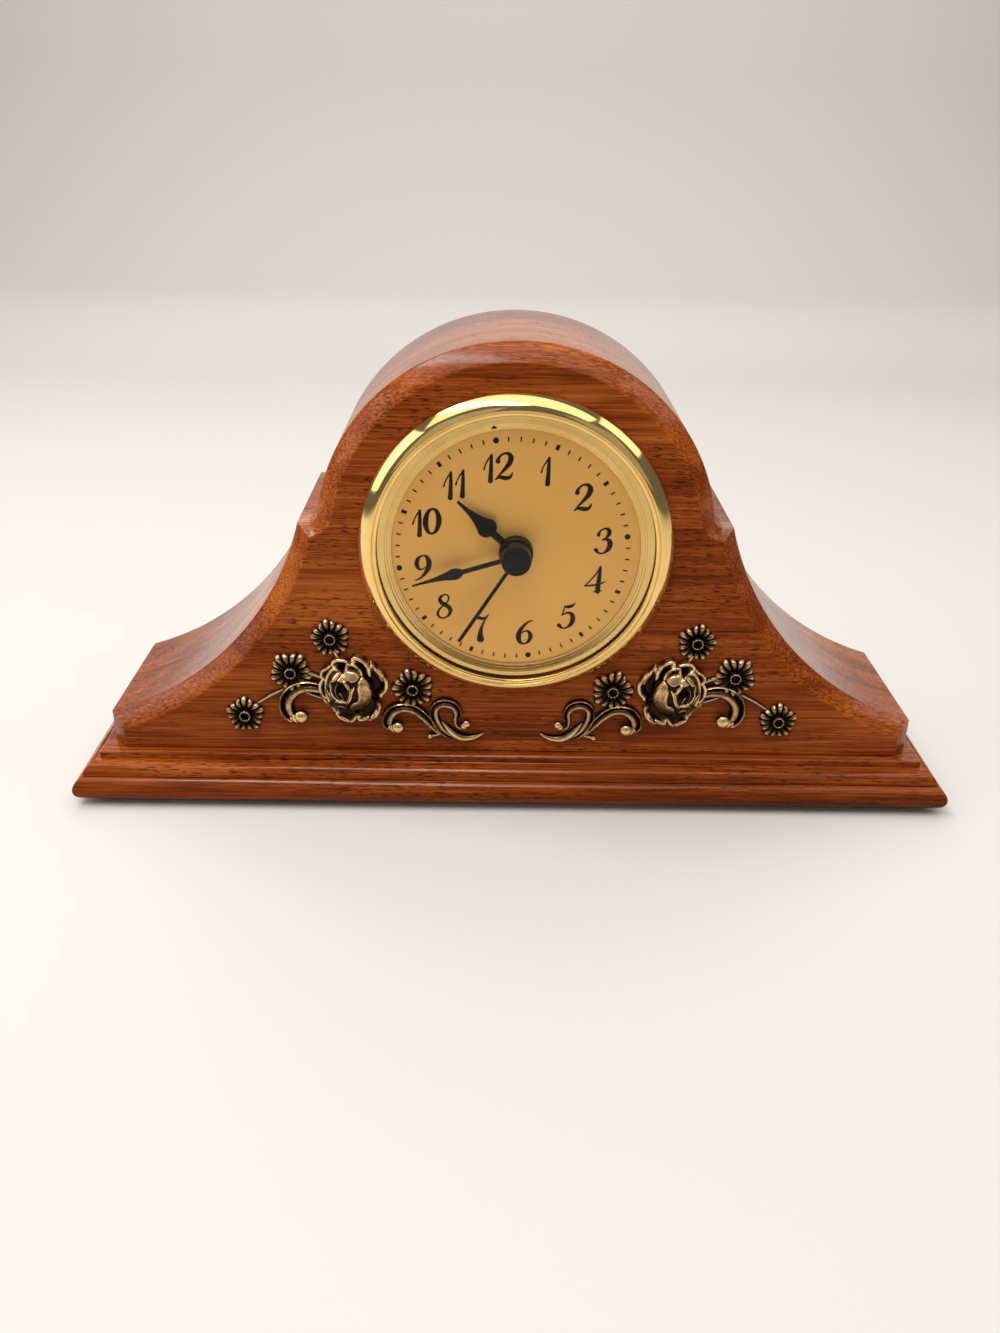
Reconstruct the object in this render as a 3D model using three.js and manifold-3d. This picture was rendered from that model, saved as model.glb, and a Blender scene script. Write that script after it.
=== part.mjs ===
// Wooden mantel clock: a dome-topped case on a moulded plinth, two stamped brass rose sprays,
// and a push-in quartz insert with its bezel, domed lens, dial, hands and movement.
// Millimetres. Pieces are drawn as seen from the front: x to the right, y up, z towards the viewer,
// with z = 0 on the front face of the wood. The last lines stand the clock up with +Z as its height.
import * as THREE from "three";
import { mergeVertices } from "three/addons/utils/BufferGeometryUtils.js";
import Module from "manifold-3d";

const wasm = await Module();
wasm.setup();

// Clearances
const SEAT = 0.15; // between two pieces that sit on each other
const PLAY = 0.25; // round a pipe, arbor or shank in its hole
const GRIP_PLAY = 0.3; // each side of the rubber grip ring, and inside the bezel
const OVERCUT = 1; // how far a drilled or milled cut starts outside its face

// Case: outline of the wooden block, measured up from the top of the plinth
const BODY_WIDTH = 248.6; // over the tips of both feet
const BODY_DEPTH = 53.8;
const FOOT_END = 9.8; // upright end of each foot
const SHOULDER_STEP = 5.2; // from the dome's side out to the shoulder's edge
const SHOULDER_HEIGHT = 72.4;
const SWEEP_RADIUS = 91; // hollow sweep from shoulder to foot
const DOME_RADIUS = 57.4; // about the dial axis
const COVE_RADIUS = 3; // hollow where the dome meets the shoulder
const DIAL_HEIGHT = 66.8; // dial axis
const CHAMFER_WIDTH = 4.7; // across the front face
const CHAMFER_DEPTH = 5; // into the thickness
const SHOULDER_CHAMFER = 3.4; // narrower over the shoulder
const CHAMFER_COVE = 10; // the cutter leaves a wider hollow on the front face
const BORE_RADIUS = 38;

// Plinth: moulded on all four sides
const PLINTH_HEIGHT = 14;
const PLINTH_OVERHANG = 10.35;
const BULLNOSE_RADIUS = 4;
const BULLNOSE_TOP = THREE.MathUtils.degToRad(65); // where the nose stops against the quirk
const OVOLO_RADIUS = 3.6;
const OVOLO_OVERHANG = 7.4;
const OVOLO_FOOT = 7.9; // height of the ovolo's lower edge
const FILLET_OVERHANG = 2.8;
const FOOT_HEIGHT = 1.5;
const FOOT_RADIUS = 6;
const FOOT_RIM = 0.3; // softened lower rim
const FOOT_INSET = 20; // from the plinth's edges to a foot's centre
const SCREW_INSET = 39.3; // from the ends of the case
const SCREW_SHANK = 2;
const SCREW_HEAD = 4;
const SCREW_HEAD_HEIGHT = 3;
const SCREW_REACH = 20; // into the case
const SLOT_WIDTH = 1;

// Rose sprays: the right-hand one; the left one is its mirror image
const SPRAY_BASE = 1; // thickness of the flat stampings
const PETAL_COUNT = 14;
const DAISY_RADIUS = 5.8;
const PETAL_VALLEY = 4.35; // radius between two petals
const DAISY_CUP = 1.9;
const DAISY_HEIGHT = 2.4;
const DAISY_HOLLOW = 0.6; // dip in the cup
const DAISIES = [[81.4, 12.5], [67.2, 26.8], [54.2, 38.7], [30.5, 22]];
const ROSE = [49.1, 21.6];
const ROSE_LEAF_RADIUS = 9.9;
const ROSE_LEAF_WAVE = 1;
const ROSE_LEAVES = 5;
const ROSE_LEAF_THICKNESS = 1.6;
const BUD = [[6.9, 2.7], [5.5, 4.6], [3.1, 5.4], [0, 4.9]]; // radius and height, from its side to its hollow
const STEM_RADIUS = 1;
const BALL_RADIUS = 2.1;
const SPRAY_DATUM = 21.8; // height of the bezel's lowest point in the sprays' layout
const STEMS = [
  [[80, 14.5], [74, 20.5], [68, 25]],
  [[55, 37], [53, 33], [50.5, 28]],
  [[32.5, 21.6], [37.5, 20.6], [42.5, 20.8]],
  [[56, 23.5], [64, 23], [67.4, 20.6], [69.3, 17], [69, 13.6], [66.5, 10.8]],
  [[18.4, 6.4], [22.6, 9], [26.8, 13.6], [31.2, 16.2], [35.6, 16.6], [38.4, 14.4], [39.2, 10.9], [37, 8.2]],
  [
    [8.6, 7.5], [12.9, 5.7], [17.6, 6.4], [20.6, 10.2], [23, 13.6], [22.6, 17.6], [19.4, 18.6], [16.6, 16.4],
    [16.4, 11.6],
  ],
];
const BALLS = [[64.4, 11.2], [35.5, 8.6], [15, 10.4]];

// Insert: what is pushed into the case's bore, turned a little as it was last fitted
const INSERT_TURN = THREE.MathUtils.degToRad(9.08);
const ROUND = 32; // sides of the large turned pieces
const GRIP_THICKNESS = 0.9; // rubber between the sleeve and the bore
const GRIP_START = 4; // behind the front face
const GRIP_WIDTH = 6;
const SLEEVE_WALL = 1.5;
const SLEEVE_LENGTH = 22;
const FLANGE_LAP = 5.9; // past the edge of the bore
const FLANGE_THICKNESS = 0.45;
const BEZEL_SKIRT = 0.8; // wall round the flange
const BEZEL_EDGE = 1.8; // height of its upright outer edge
const BEZEL_ROLL = 3.1; // from the outer edge in to the crest
const BEZEL_RISE = 0.6; // crest above the lip
const BEZEL_SEAT = 3.7; // from the flange's rim in to the recess behind the lip
const BEZEL_LAP = 0.8; // lip over the lens rim
const BEZEL_LIP = 0.55;
const DIAL_THICKNESS = 0.35;
const DIAL_RING_HEIGHT = 1.5;
const DIAL_RING_FOOT = 0.5; // upright inner edge of the ring
const DIAL_RING_TOP = 2.4; // width of its flat top
const DIAL_RING_SLOPE = 2.1; // width of its sloping inside
const LENS_RIM = 0.8;
const LENS_EDGE = 0.8; // flat rim that shows inside the lip
const LENS_THICKNESS = 1.2;
const TIP_CLEARANCE = 0.7; // under the lens, over the hands

// Hands, at the time they show at rest, as clockwise angles from twelve; heights above the dial
const HOUR_ANGLE = THREE.MathUtils.degToRad(321.8);
const MINUTE_ANGLE = THREE.MathUtils.degToRad(261.6);
const SECOND_ANGLE = THREE.MathUtils.degToRad(220.8);
const HAND_THICKNESS = 0.4;
const HUB_GAP = 0.3; // between one hub and the next
const NUT_RADIUS = 4.9;
const NUT_HEIGHT = 1;
const HOUR = {
  hub: 4.8, height: 1.9, blade: 0.5, length: 22.4, neck: 1.05, neckLength: 8.9, flare: 9.3,
  belly: 2.9, bellyAt: 11.7, taper: 0.55, taperAt: 15.6, tip: 0.42,
};
const MINUTE = {
  hub: 4.3, height: 2.2, blade: 0.55, length: 30.8, neck: 0.7, neckLength: 15.8, flare: 16.5,
  belly: 1.75, bellyAt: 18.6, taper: 0.4, taperAt: 22.5, tip: 0.28,
};
const SECOND_CAP = 4.2;
const SECOND_CAP_HEIGHT = 2.6;
const SECOND_LENGTH = 30.7;
const SECOND_DROP = 1.21; // from its root to its tip, to pass under the lens
const SECOND_WIDTH = 1.07;

// Movement: a moulded case clamped behind the dial by the nut on its bush
const FINE = 16; // sides of the small turned pieces
const CASE_LEFT = -20;
const CASE_CORNER = 4;
const CASE_WALL = 1.2;
const CASE_CLEARANCE = 0.5; // inside the walls, to the cell, its contact and the coil
const BUSH_RADIUS = 3.9;
const HOUR_PIPE = 2.9;
const MINUTE_PIPE = 1.9;
const SECOND_ARBOR = 0.6;
const ARBOR = 0.5;
const PIVOT = 0.6; // length of an arbor's end inside its bearing hole
const WHEEL = 1; // thickness of each wheel
const LAYER_GAP = 0.6; // between one wheel and the next
const CLUTCH_SPRING = 0.3;
const CLUTCH_RIM = 1.1; // its width round the arbor
const COLLAR_RIM = 1.2;
const MOTION_CENTRES = 9; // arbor distances
const THIRD_CENTRES = 9;
const INTERMEDIATE_CENTRES = 9;
const ROTOR_CENTRES = 7.56;
const MINUTE_SIDE = THREE.MathUtils.degToRad(20); // directions of the arbors from the centre
const THIRD_SIDE = THREE.MathUtils.degToRad(160);
const INTERMEDIATE_SIDE = THREE.MathUtils.degToRad(90);
const ROTOR_SIDE = THREE.MathUtils.degToRad(60);
const TEETH = {
  cannon: 10, minute: 30, minutePinion: 8, hour: 32,
  secondPinion: 6, third: 45, thirdPinion: 6, centre: 48,
  second: 30, intermediatePinion: 6, intermediate: 36, rotor: 6,
};
const ADDENDUM = 0.7; // tooth sizes in modules and pitches
const DEDENDUM = 0.9;
const ROOT_SHARE = 0.3;
const MAGNET_RADIUS = 1.9;
const MAGNET_HEIGHT = 2.4;
const MAGNET_GAP = 0.6; // to the stator
const STATOR_THICKNESS = 1;
const STATOR_LEFT = -11;
const STATOR_INSET = 5.2; // from the case's right side
const STATOR_BRIDGE = 0.95; // metal between the magnet's hole and the coil
const STATOR_LEG = 2.5;
const STATOR_LEG_LENGTH = 5;
const COIL_RADIUS = 3;
const COIL_CORE = 2.55;
const COIL_FLANGE = 1.2;
const POST_RADIUS = 1.5;
const BOARD = { left: -17.5, right: 3.5, bottom: -16, top: -9.6, thickness: 1 };
const CRYSTAL_RADIUS = 1;
const CRYSTAL_LENGTH = 6;
const BLOB_RADIUS = 2;
const BLOB_TOP = 1.4;
const BLOB_HEIGHT = 1;
const CELL_RADIUS = 5.8;
const CELL_HEIGHT = 5.4;
const CELL_RIM = 0.3;
const CELL_CAP = 4.9; // radius of its small pole
const CELL_CAP_HEIGHT = 1;
const CELL_CENTRE = [12, -10];
const CELL_PLAY = 0.4;
const CONTACT = 0.25; // sheet thickness
const CONTACT_WIDTH = 3;
const KNOB_RADIUS = 4;
const KNOB_HEIGHT = 3;
const KNOB_RIBS = 12;
const KNOB_RIB_DEPTH = 0.35;
const COVER_SCREW_INSET = 2.7;
const COVER_SCREW_LOW = -4; // height of the third screw
const COVER_SCREW_POST = 2;
const COVER_SCREW_HEAD = 1.7;
const COVER_SCREW_HEAD_HEIGHT = 1;
const COVER_SCREW_SHANK = 0.8;
const COVER_SCREW_REACH = 5;
const COVER_SLOT = 0.6;

// Geometry helpers

// One closed surface with shared corners, no collapsed faces, and its faces pointing out.
function closed(geometry) {
  const bare = geometry.clone();
  bare.deleteAttribute("normal");
  bare.deleteAttribute("uv");
  const merged = mergeVertices(bare, 1e-4);
  const at = merged.attributes.position;
  const faces = [];
  for (let i = 0; i < merged.index.count; i += 3) {
    const [a, b, c] = [0, 1, 2].map((k) => merged.index.getX(i + k));
    if (a !== b && b !== c && c !== a) faces.push([a, b, c]);
  }
  const corner = (i) => new THREE.Vector3().fromBufferAttribute(at, i);
  const volume = faces.reduce((sum, [a, b, c]) => sum + corner(a).dot(corner(b).cross(corner(c))), 0);
  merged.setIndex(faces.flatMap(([a, b, c]) => (volume < 0 ? [a, c, b] : [a, b, c])));
  return merged;
}

function solidOf(geometry) {
  const shell = closed(geometry);
  return new wasm.Manifold(new wasm.Mesh({
    numProp: 3,
    vertProperties: shell.attributes.position.array,
    triVerts: new Uint32Array(shell.index.array),
  }));
}

function geometryOf(solid) {
  const mesh = solid.getMesh();
  const geometry = new THREE.BufferGeometry();
  geometry.setAttribute("position", new THREE.BufferAttribute(new Float32Array(mesh.vertProperties), 3));
  return geometry.setIndex(new THREE.BufferAttribute(new Uint32Array(mesh.triVerts), 1));
}

const join = (...pieces) => geometryOf(pieces.map(solidOf).reduce((a, b) => a.add(b)));
const cut = (piece, ...tools) =>
  geometryOf(tools.map(solidOf).reduce((a, b) => a.subtract(b), solidOf(piece)));

// A turned piece about the y axis, from [radius, height] points that close on themselves or on the axis.
function turned(profile, sides) {
  const points = profile.map(([r, h]) => new THREE.Vector2(r, h));
  if (profile.some(([r]) => r > 0) && profile.every(([r]) => r > 0)) points.push(points[0].clone());
  return closed(new THREE.LatheGeometry(points, sides));
}

// The same about the z axis, with heights along z.
const ring = (profile, sides) => turned(profile, sides).rotateX(Math.PI / 2);

const tube = (inner, outer, back, front, sides) =>
  ring([[inner, back], [outer, back], [outer, front], [inner, front]], sides);

const rod = (radius, back, front, sides = FINE) =>
  ring([[0, back], [radius, back], [radius, front], [0, front]], sides);

// A flat piece: an outline drawn in x and y, between two depths.
function plate(outline, back, front, curveSegments = 8) {
  const shape = outline instanceof THREE.Shape ? outline : new THREE.Shape(outline);
  const settings = { depth: front - back, bevelEnabled: false, curveSegments };
  return closed(new THREE.ExtrudeGeometry(shape, settings).translate(0, 0, back));
}

const block = (left, right, bottom, top, back, front) =>
  new THREE.BoxGeometry(right - left, top - bottom, front - back)
    .translate((left + right) / 2, (bottom + top) / 2, (back + front) / 2);

// A skin over matching rings of points, from back to front, with both ends closed.
function loft(rings) {
  const count = rings[0].length;
  const positions = rings.flat().flatMap((p) => [p.x, p.y, p.z]);
  const faces = [];
  for (let k = 0; k + 1 < rings.length; k++) {
    for (let i = 0; i < count; i++) {
      const [a, b] = [k * count + i, k * count + ((i + 1) % count)];
      faces.push(a, b, b + count, a, b + count, a + count);
    }
  }
  const last = (rings.length - 1) * count;
  const flat = (points) =>
    THREE.ShapeUtils.triangulateShape(points.map((p) => new THREE.Vector2(p.x, p.y)), []);
  for (const [a, b, c] of flat(rings[0])) faces.push(c, b, a);
  for (const [a, b, c] of flat(rings[rings.length - 1])) faces.push(last + a, last + b, last + c);
  const geometry = new THREE.BufferGeometry();
  geometry.setAttribute("position", new THREE.Float32BufferAttribute(positions, 3));
  return closed(geometry.setIndex(faces));
}

function arc(centre, radius, from, to, steps) {
  return Array.from({ length: steps + 1 }, (_, i) => {
    const angle = from + ((to - from) * i) / steps;
    return new THREE.Vector2(centre.x + radius * Math.cos(angle), centre.y + radius * Math.sin(angle));
  });
}

const polar = (radius, angle) => new THREE.Vector2(radius * Math.cos(angle), radius * Math.sin(angle));
const angleTo = (centre, point) => Math.atan2(point.y - centre.y, point.x - centre.x);

function mesh(name, geometry, color, roughness, metalness = 0) {
  const material = new THREE.MeshStandardMaterial({ color, roughness, metalness });
  const piece = new THREE.Mesh(closed(geometry), material);
  piece.name = name;
  return piece;
}

// Case

const DOME_CENTRE = new THREE.Vector2(0, DIAL_HEIGHT);
const SHOULDER = new THREE.Vector2(DOME_RADIUS + SHOULDER_STEP, SHOULDER_HEIGHT);
const FOOT_TIP = new THREE.Vector2(BODY_WIDTH / 2, FOOT_END);

// The sweep's centre lies up and out from the middle of the line between shoulder and foot.
function sweepCentre() {
  const span = FOOT_TIP.clone().sub(SHOULDER);
  const rise = Math.sqrt(SWEEP_RADIUS ** 2 - span.lengthSq() / 4);
  const outward = new THREE.Vector2(-span.y, span.x).normalize();
  return SHOULDER.clone().add(FOOT_TIP).multiplyScalar(0.5).addScaledVector(outward, rise);
}

const SWEEP_CENTRE = sweepCentre();

// Lower crossing of two circles.
function crossing(a, ra, b, rb) {
  const line = b.clone().sub(a);
  const distance = line.length();
  const along = (distance ** 2 + ra ** 2 - rb ** 2) / (2 * distance);
  const across = Math.sqrt(ra ** 2 - along ** 2);
  line.divideScalar(distance);
  const foot = a.clone().addScaledVector(line, along);
  const side = new THREE.Vector2(line.y, -line.x).multiplyScalar(across);
  const pair = [foot.clone().add(side), foot.clone().sub(side)];
  return pair[0].y < pair[1].y ? pair[0] : pair[1];
}

// Right half of an outline of the case, from the top of the dome to the foot's lower corner.
function halfOutline(edge) {
  const cove = new THREE.Vector2(0, edge.ledge + edge.cove);
  cove.x = Math.sqrt((edge.dome + edge.cove) ** 2 - (cove.y - DOME_CENTRE.y) ** 2);
  const ledge = SWEEP_CENTRE.x - Math.sqrt(edge.sweep ** 2 - (SWEEP_CENTRE.y - edge.ledge) ** 2);
  const squareCorner = ledge > cove.x;
  const corner = squareCorner
    ? new THREE.Vector2(ledge, edge.ledge)
    : crossing(cove, edge.cove, SWEEP_CENTRE, edge.sweep);
  const tip = new THREE.Vector2(edge.end, 0);
  tip.y = SWEEP_CENTRE.y - Math.sqrt(edge.sweep ** 2 - (SWEEP_CENTRE.x - edge.end) ** 2);
  const flank = angleTo(DOME_CENTRE, cove);
  const turn = (angle) => (angle < 0 ? angle + 2 * Math.PI : angle);
  const hollow = squareCorner
    ? [...arc(cove, edge.cove, flank + Math.PI, 1.5 * Math.PI, 4), corner]
    : arc(cove, edge.cove, flank + Math.PI, turn(angleTo(cove, corner)), 5);
  const [from, to] = [corner, tip].map((point) => turn(angleTo(SWEEP_CENTRE, point)));
  return [
    ...arc(DOME_CENTRE, edge.dome, Math.PI / 2, flank, 14),
    ...hollow.slice(1),
    ...arc(SWEEP_CENTRE, edge.sweep, from, to, 10).slice(1),
    new THREE.Vector2(edge.end, 0),
  ];
}

function wholeOutline(edge) {
  const right = halfOutline(edge);
  const left = right.slice(1).map((p) => new THREE.Vector2(-p.x, p.y));
  return [...right.reverse(), ...left];
}

const SIDE_EDGE = {
  dome: DOME_RADIUS,
  cove: COVE_RADIUS,
  ledge: SHOULDER_HEIGHT,
  sweep: SWEEP_RADIUS,
  end: BODY_WIDTH / 2,
};
const FACE_EDGE = {
  dome: DOME_RADIUS - CHAMFER_WIDTH,
  cove: CHAMFER_COVE,
  ledge: SHOULDER_HEIGHT - SHOULDER_CHAMFER,
  sweep: SWEEP_RADIUS + CHAMFER_WIDTH,
  end: BODY_WIDTH / 2 - CHAMFER_WIDTH,
};
const SCREW_PLACES = { left: SCREW_INSET - BODY_WIDTH / 2, right: BODY_WIDTH / 2 - SCREW_INSET };
const CASE_MIDDLE = -BODY_DEPTH / 2;

function caseBody() {
  const at = (points, z) => points.map((p) => new THREE.Vector3(p.x, p.y, z));
  const side = wholeOutline(SIDE_EDGE);
  const whole = loft([at(side, -BODY_DEPTH), at(side, -CHAMFER_DEPTH), at(wholeOutline(FACE_EDGE), 0)]);
  const bore = rod(BORE_RADIUS, -BODY_DEPTH - OVERCUT, OVERCUT, 40).translate(0, DIAL_HEIGHT, 0);
  const pilots = Object.values(SCREW_PLACES).map((x) =>
    new THREE.CylinderGeometry(SCREW_SHANK + PLAY, SCREW_SHANK + PLAY, 2 * (SCREW_REACH + OVERCUT), FINE)
      .translate(x, 0, CASE_MIDDLE));
  return cut(whole, bore, ...pilots);
}

// Moulded edge of the plinth, upwards, as [overhang past the case, height].
function plinthEdge() {
  const nose = new THREE.Vector2(PLINTH_OVERHANG - BULLNOSE_RADIUS, BULLNOSE_RADIUS);
  const ovolo = new THREE.Vector2(OVOLO_OVERHANG - OVOLO_RADIUS, OVOLO_FOOT);
  const under = arc(nose, BULLNOSE_RADIUS, -Math.PI / 2, 0, 4);
  const noseArc = [...under, ...arc(nose, BULLNOSE_RADIUS, 0, BULLNOSE_TOP, 3).slice(1)];
  const quirk = new THREE.Vector2(OVOLO_OVERHANG, noseArc[noseArc.length - 1].y);
  return [
    ...noseArc,
    quirk,
    ...arc(ovolo, OVOLO_RADIUS, 0, Math.PI / 2, 4),
    new THREE.Vector2(FILLET_OVERHANG, ovolo.y + OVOLO_RADIUS),
    new THREE.Vector2(FILLET_OVERHANG, PLINTH_HEIGHT),
  ];
}

function plinth() {
  const rings = plinthEdge().map(({ x: overhang, y: height }) => {
    const [w, d] = [BODY_WIDTH / 2 + overhang, BODY_DEPTH / 2 + overhang];
    return [[w, -d], [w, d], [-w, d], [-w, -d]].map(([x, y]) => new THREE.Vector3(x, y, height));
  });
  const board = loft(rings).rotateX(-Math.PI / 2).translate(0, 0, CASE_MIDDLE);
  const holes = Object.values(SCREW_PLACES).flatMap((x) => [
    new THREE.CylinderGeometry(SCREW_SHANK + PLAY, SCREW_SHANK + PLAY, 3 * PLINTH_HEIGHT, FINE)
      .translate(x, 0, CASE_MIDDLE),
    new THREE.CylinderGeometry(SCREW_HEAD + PLAY, SCREW_HEAD + PLAY, 2 * (SCREW_HEAD_HEIGHT + SEAT), FINE)
      .translate(x, 0, CASE_MIDDLE),
  ]);
  return cut(board, ...holes);
}

// Slotted screw standing upwards on the underside of the plinth.
function baseScrew() {
  const tip = PLINTH_HEIGHT + SCREW_REACH;
  const screw = turned([
    [0, 0], [SCREW_HEAD, 0], [SCREW_HEAD, SCREW_HEAD_HEIGHT - SEAT], [SCREW_SHANK, SCREW_HEAD_HEIGHT - SEAT],
    [SCREW_SHANK, tip - 2 * SCREW_SHANK], [0, tip],
  ], FINE);
  const slot = new THREE.BoxGeometry(3 * SCREW_HEAD, SCREW_HEAD_HEIGHT, SLOT_WIDTH);
  return cut(screw, slot);
}

function foot() {
  return turned([
    [0, 0], [FOOT_RADIUS - FOOT_RIM, 0], [FOOT_RADIUS, FOOT_RIM], [FOOT_RADIUS, FOOT_HEIGHT - SEAT],
    [0, FOOT_HEIGHT - SEAT],
  ], FINE);
}

// Rose sprays

function daisy([x, y]) {
  const pitch = (2 * Math.PI) / PETAL_COUNT;
  const petals = Array.from({ length: PETAL_COUNT }, (_, i) => [
    polar(PETAL_VALLEY, i * pitch),
    polar(DAISY_RADIUS, (i + 0.5) * pitch),
  ]).flat();
  const cup = ring([[0, 0], [DAISY_CUP, 0], [DAISY_CUP, DAISY_HEIGHT], [0, DAISY_HEIGHT - DAISY_HOLLOW]], 8);
  return join(plate(petals, 0, SPRAY_BASE), cup).translate(x, y, SEAT);
}

function rose() {
  const leafPoints = 6 * ROSE_LEAVES;
  const leaves = Array.from({ length: leafPoints }, (_, i) => {
    const angle = (2 * Math.PI * i) / leafPoints;
    return polar(ROSE_LEAF_RADIUS + ROSE_LEAF_WAVE * Math.cos(ROSE_LEAVES * angle), angle);
  });
  const bud = ring([[0, 0], [BUD[0][0], 0], ...BUD], 12);
  return join(plate(leaves, 0, ROSE_LEAF_THICKNESS), bud).translate(...ROSE, SEAT);
}

function stem(points) {
  const path = new THREE.CatmullRomCurve3(
    points.map(([x, y]) => new THREE.Vector3(x, y, SEAT + STEM_RADIUS)));
  const section = new THREE.Shape(arc(new THREE.Vector2(), STEM_RADIUS, 0, 1.6 * Math.PI, 4));
  return closed(new THREE.ExtrudeGeometry(section, { steps: points.length + 2, extrudePath: path }));
}

const ball = ([x, y]) => new THREE.SphereGeometry(BALL_RADIUS, 8, 4).translate(x, y, SEAT + BALL_RADIUS);

const spray = join(rose(), ...DAISIES.map(daisy), ...STEMS.map(stem), ...BALLS.map(ball));

// Insert: depths of its pieces, from the front face of the wood towards the viewer

const FLANGE_FRONT = SEAT + FLANGE_THICKNESS;
const DIAL_BACK = FLANGE_FRONT + SEAT;
const DIAL_FRONT = DIAL_BACK + DIAL_THICKNESS;
const DIAL_RING_BACK = DIAL_FRONT + SEAT;
const LENS_BACK = DIAL_RING_BACK + DIAL_RING_HEIGHT + SEAT;
const LENS_RIM_FRONT = LENS_BACK + LENS_RIM;
const LIP_BACK = LENS_RIM_FRONT + SEAT;
const NUT_BACK = DIAL_FRONT + SEAT;
const BUSH_FRONT = NUT_BACK + NUT_HEIGHT;
const HOUR_HUB_BACK = BUSH_FRONT + HUB_GAP;
const HOUR_HUB_FRONT = HOUR_HUB_BACK + HOUR.height;
const MINUTE_HUB_BACK = HOUR_HUB_FRONT + HUB_GAP;
const MINUTE_HUB_FRONT = MINUTE_HUB_BACK + MINUTE.height;
const SECOND_CAP_BACK = MINUTE_HUB_FRONT + HUB_GAP;
const SECOND_CAP_FRONT = SECOND_CAP_BACK + SECOND_CAP_HEIGHT;
const HOUR_BLADE_BACK = HOUR_HUB_BACK + HOUR.blade;
const MINUTE_BLADE_BACK = MINUTE_HUB_BACK + MINUTE.blade;
const SECOND_BLADE_BACK = SECOND_CAP_BACK + SEAT;

// Radii of the insert's round pieces, outwards and inwards from the bore
const SLEEVE_RADIUS = BORE_RADIUS - 2 * GRIP_PLAY - GRIP_THICKNESS;
const SLEEVE_BORE = SLEEVE_RADIUS - SLEEVE_WALL;
const FLANGE_RADIUS = BORE_RADIUS + FLANGE_LAP;
const SKIRT_RADIUS = FLANGE_RADIUS + GRIP_PLAY;
const BEZEL_RADIUS = SKIRT_RADIUS + BEZEL_SKIRT;
const BEZEL_RECESS = FLANGE_RADIUS - BEZEL_SEAT;
const LIP_RADIUS = BEZEL_RECESS - BEZEL_LAP;
const STACK_RADIUS = BEZEL_RECESS - GRIP_PLAY; // rim of the dial, its ring and the lens
const DIAL_RING_SHELF = STACK_RADIUS - DIAL_RING_TOP;
const DIAL_OPENING = DIAL_RING_SHELF - DIAL_RING_SLOPE; // the part of the dial that shows
const DOME_RIM = LIP_RADIUS - LENS_EDGE;
const INNER_RIM = DOME_RIM - LENS_THICKNESS / 2;
const INNER_RIM_HEIGHT = LENS_BACK + LENS_RIM / 2;

// Apex of the dome that stands on the lens's inner rim and passes over a hand's tip.
function apexOver(length, bladeBack) {
  const height = bladeBack + HAND_THICKNESS + TIP_CLEARANCE;
  const squares = INNER_RIM ** 2 + INNER_RIM_HEIGHT ** 2 - length ** 2 - height ** 2;
  const centre = squares / (2 * (INNER_RIM_HEIGHT - height));
  return centre + Math.hypot(INNER_RIM, INNER_RIM_HEIGHT - centre);
}

const INNER_APEX = Math.max(
  SECOND_CAP_FRONT + TIP_CLEARANCE,
  apexOver(MINUTE.length, MINUTE_BLADE_BACK),
  apexOver(SECOND_LENGTH, SECOND_BLADE_BACK - SECOND_DROP),
);
const LENS_APEX = INNER_APEX + LENS_THICKNESS;

const sleeve = () => ring([
  [SLEEVE_BORE, FLANGE_FRONT], [FLANGE_RADIUS, FLANGE_FRONT], [FLANGE_RADIUS, SEAT],
  [SLEEVE_RADIUS, SEAT], [SLEEVE_RADIUS, -SLEEVE_LENGTH], [SLEEVE_BORE, -SLEEVE_LENGTH],
], ROUND);

const gripRing = () =>
  tube(SLEEVE_RADIUS + GRIP_PLAY, BORE_RADIUS - GRIP_PLAY, -GRIP_START - GRIP_WIDTH, -GRIP_START, ROUND);

function bezel() {
  const lip = LIP_BACK + BEZEL_LIP;
  const crest = lip + BEZEL_RISE;
  const crown = new THREE.QuadraticBezierCurve(
    new THREE.Vector2(BEZEL_RADIUS, BEZEL_EDGE),
    new THREE.Vector2(BEZEL_RADIUS, crest),
    new THREE.Vector2(BEZEL_RADIUS - BEZEL_ROLL, crest),
  ).getPoints(4).map((p) => [p.x, p.y]);
  return ring([
    [SKIRT_RADIUS, SEAT], [BEZEL_RADIUS, SEAT], ...crown, [LIP_RADIUS, lip], [LIP_RADIUS, LIP_BACK],
    [BEZEL_RECESS, LIP_BACK], [BEZEL_RECESS, FLANGE_FRONT + SEAT], [SKIRT_RADIUS, FLANGE_FRONT + SEAT],
  ], ROUND);
}

// Points of a dome's section from its apex to its rim.
function domeArc(apex, rimRadius, rimHeight, steps) {
  const sag = apex - rimHeight;
  const radius = (rimRadius ** 2 + sag ** 2) / (2 * sag);
  const edge = Math.asin(rimRadius / radius);
  return Array.from({ length: steps + 1 }, (_, i) => {
    const angle = (edge * i) / steps;
    return [radius * Math.sin(angle), apex - radius * (1 - Math.cos(angle))];
  });
}

function lens() {
  const outer = domeArc(LENS_APEX, DOME_RIM, LENS_RIM_FRONT, 5);
  const inner = domeArc(INNER_APEX, INNER_RIM, INNER_RIM_HEIGHT, 5);
  const rim = [[STACK_RADIUS, LENS_RIM_FRONT], [STACK_RADIUS, LENS_BACK], [INNER_RIM, LENS_BACK]];
  return ring([...outer, ...rim, ...inner.reverse()], ROUND);
}

const dialRing = () => ring([
  [DIAL_OPENING, DIAL_RING_BACK], [STACK_RADIUS, DIAL_RING_BACK],
  [STACK_RADIUS, DIAL_RING_BACK + DIAL_RING_HEIGHT], [DIAL_RING_SHELF, DIAL_RING_BACK + DIAL_RING_HEIGHT],
  [DIAL_OPENING, DIAL_RING_BACK + DIAL_RING_FOOT],
], ROUND);

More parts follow.
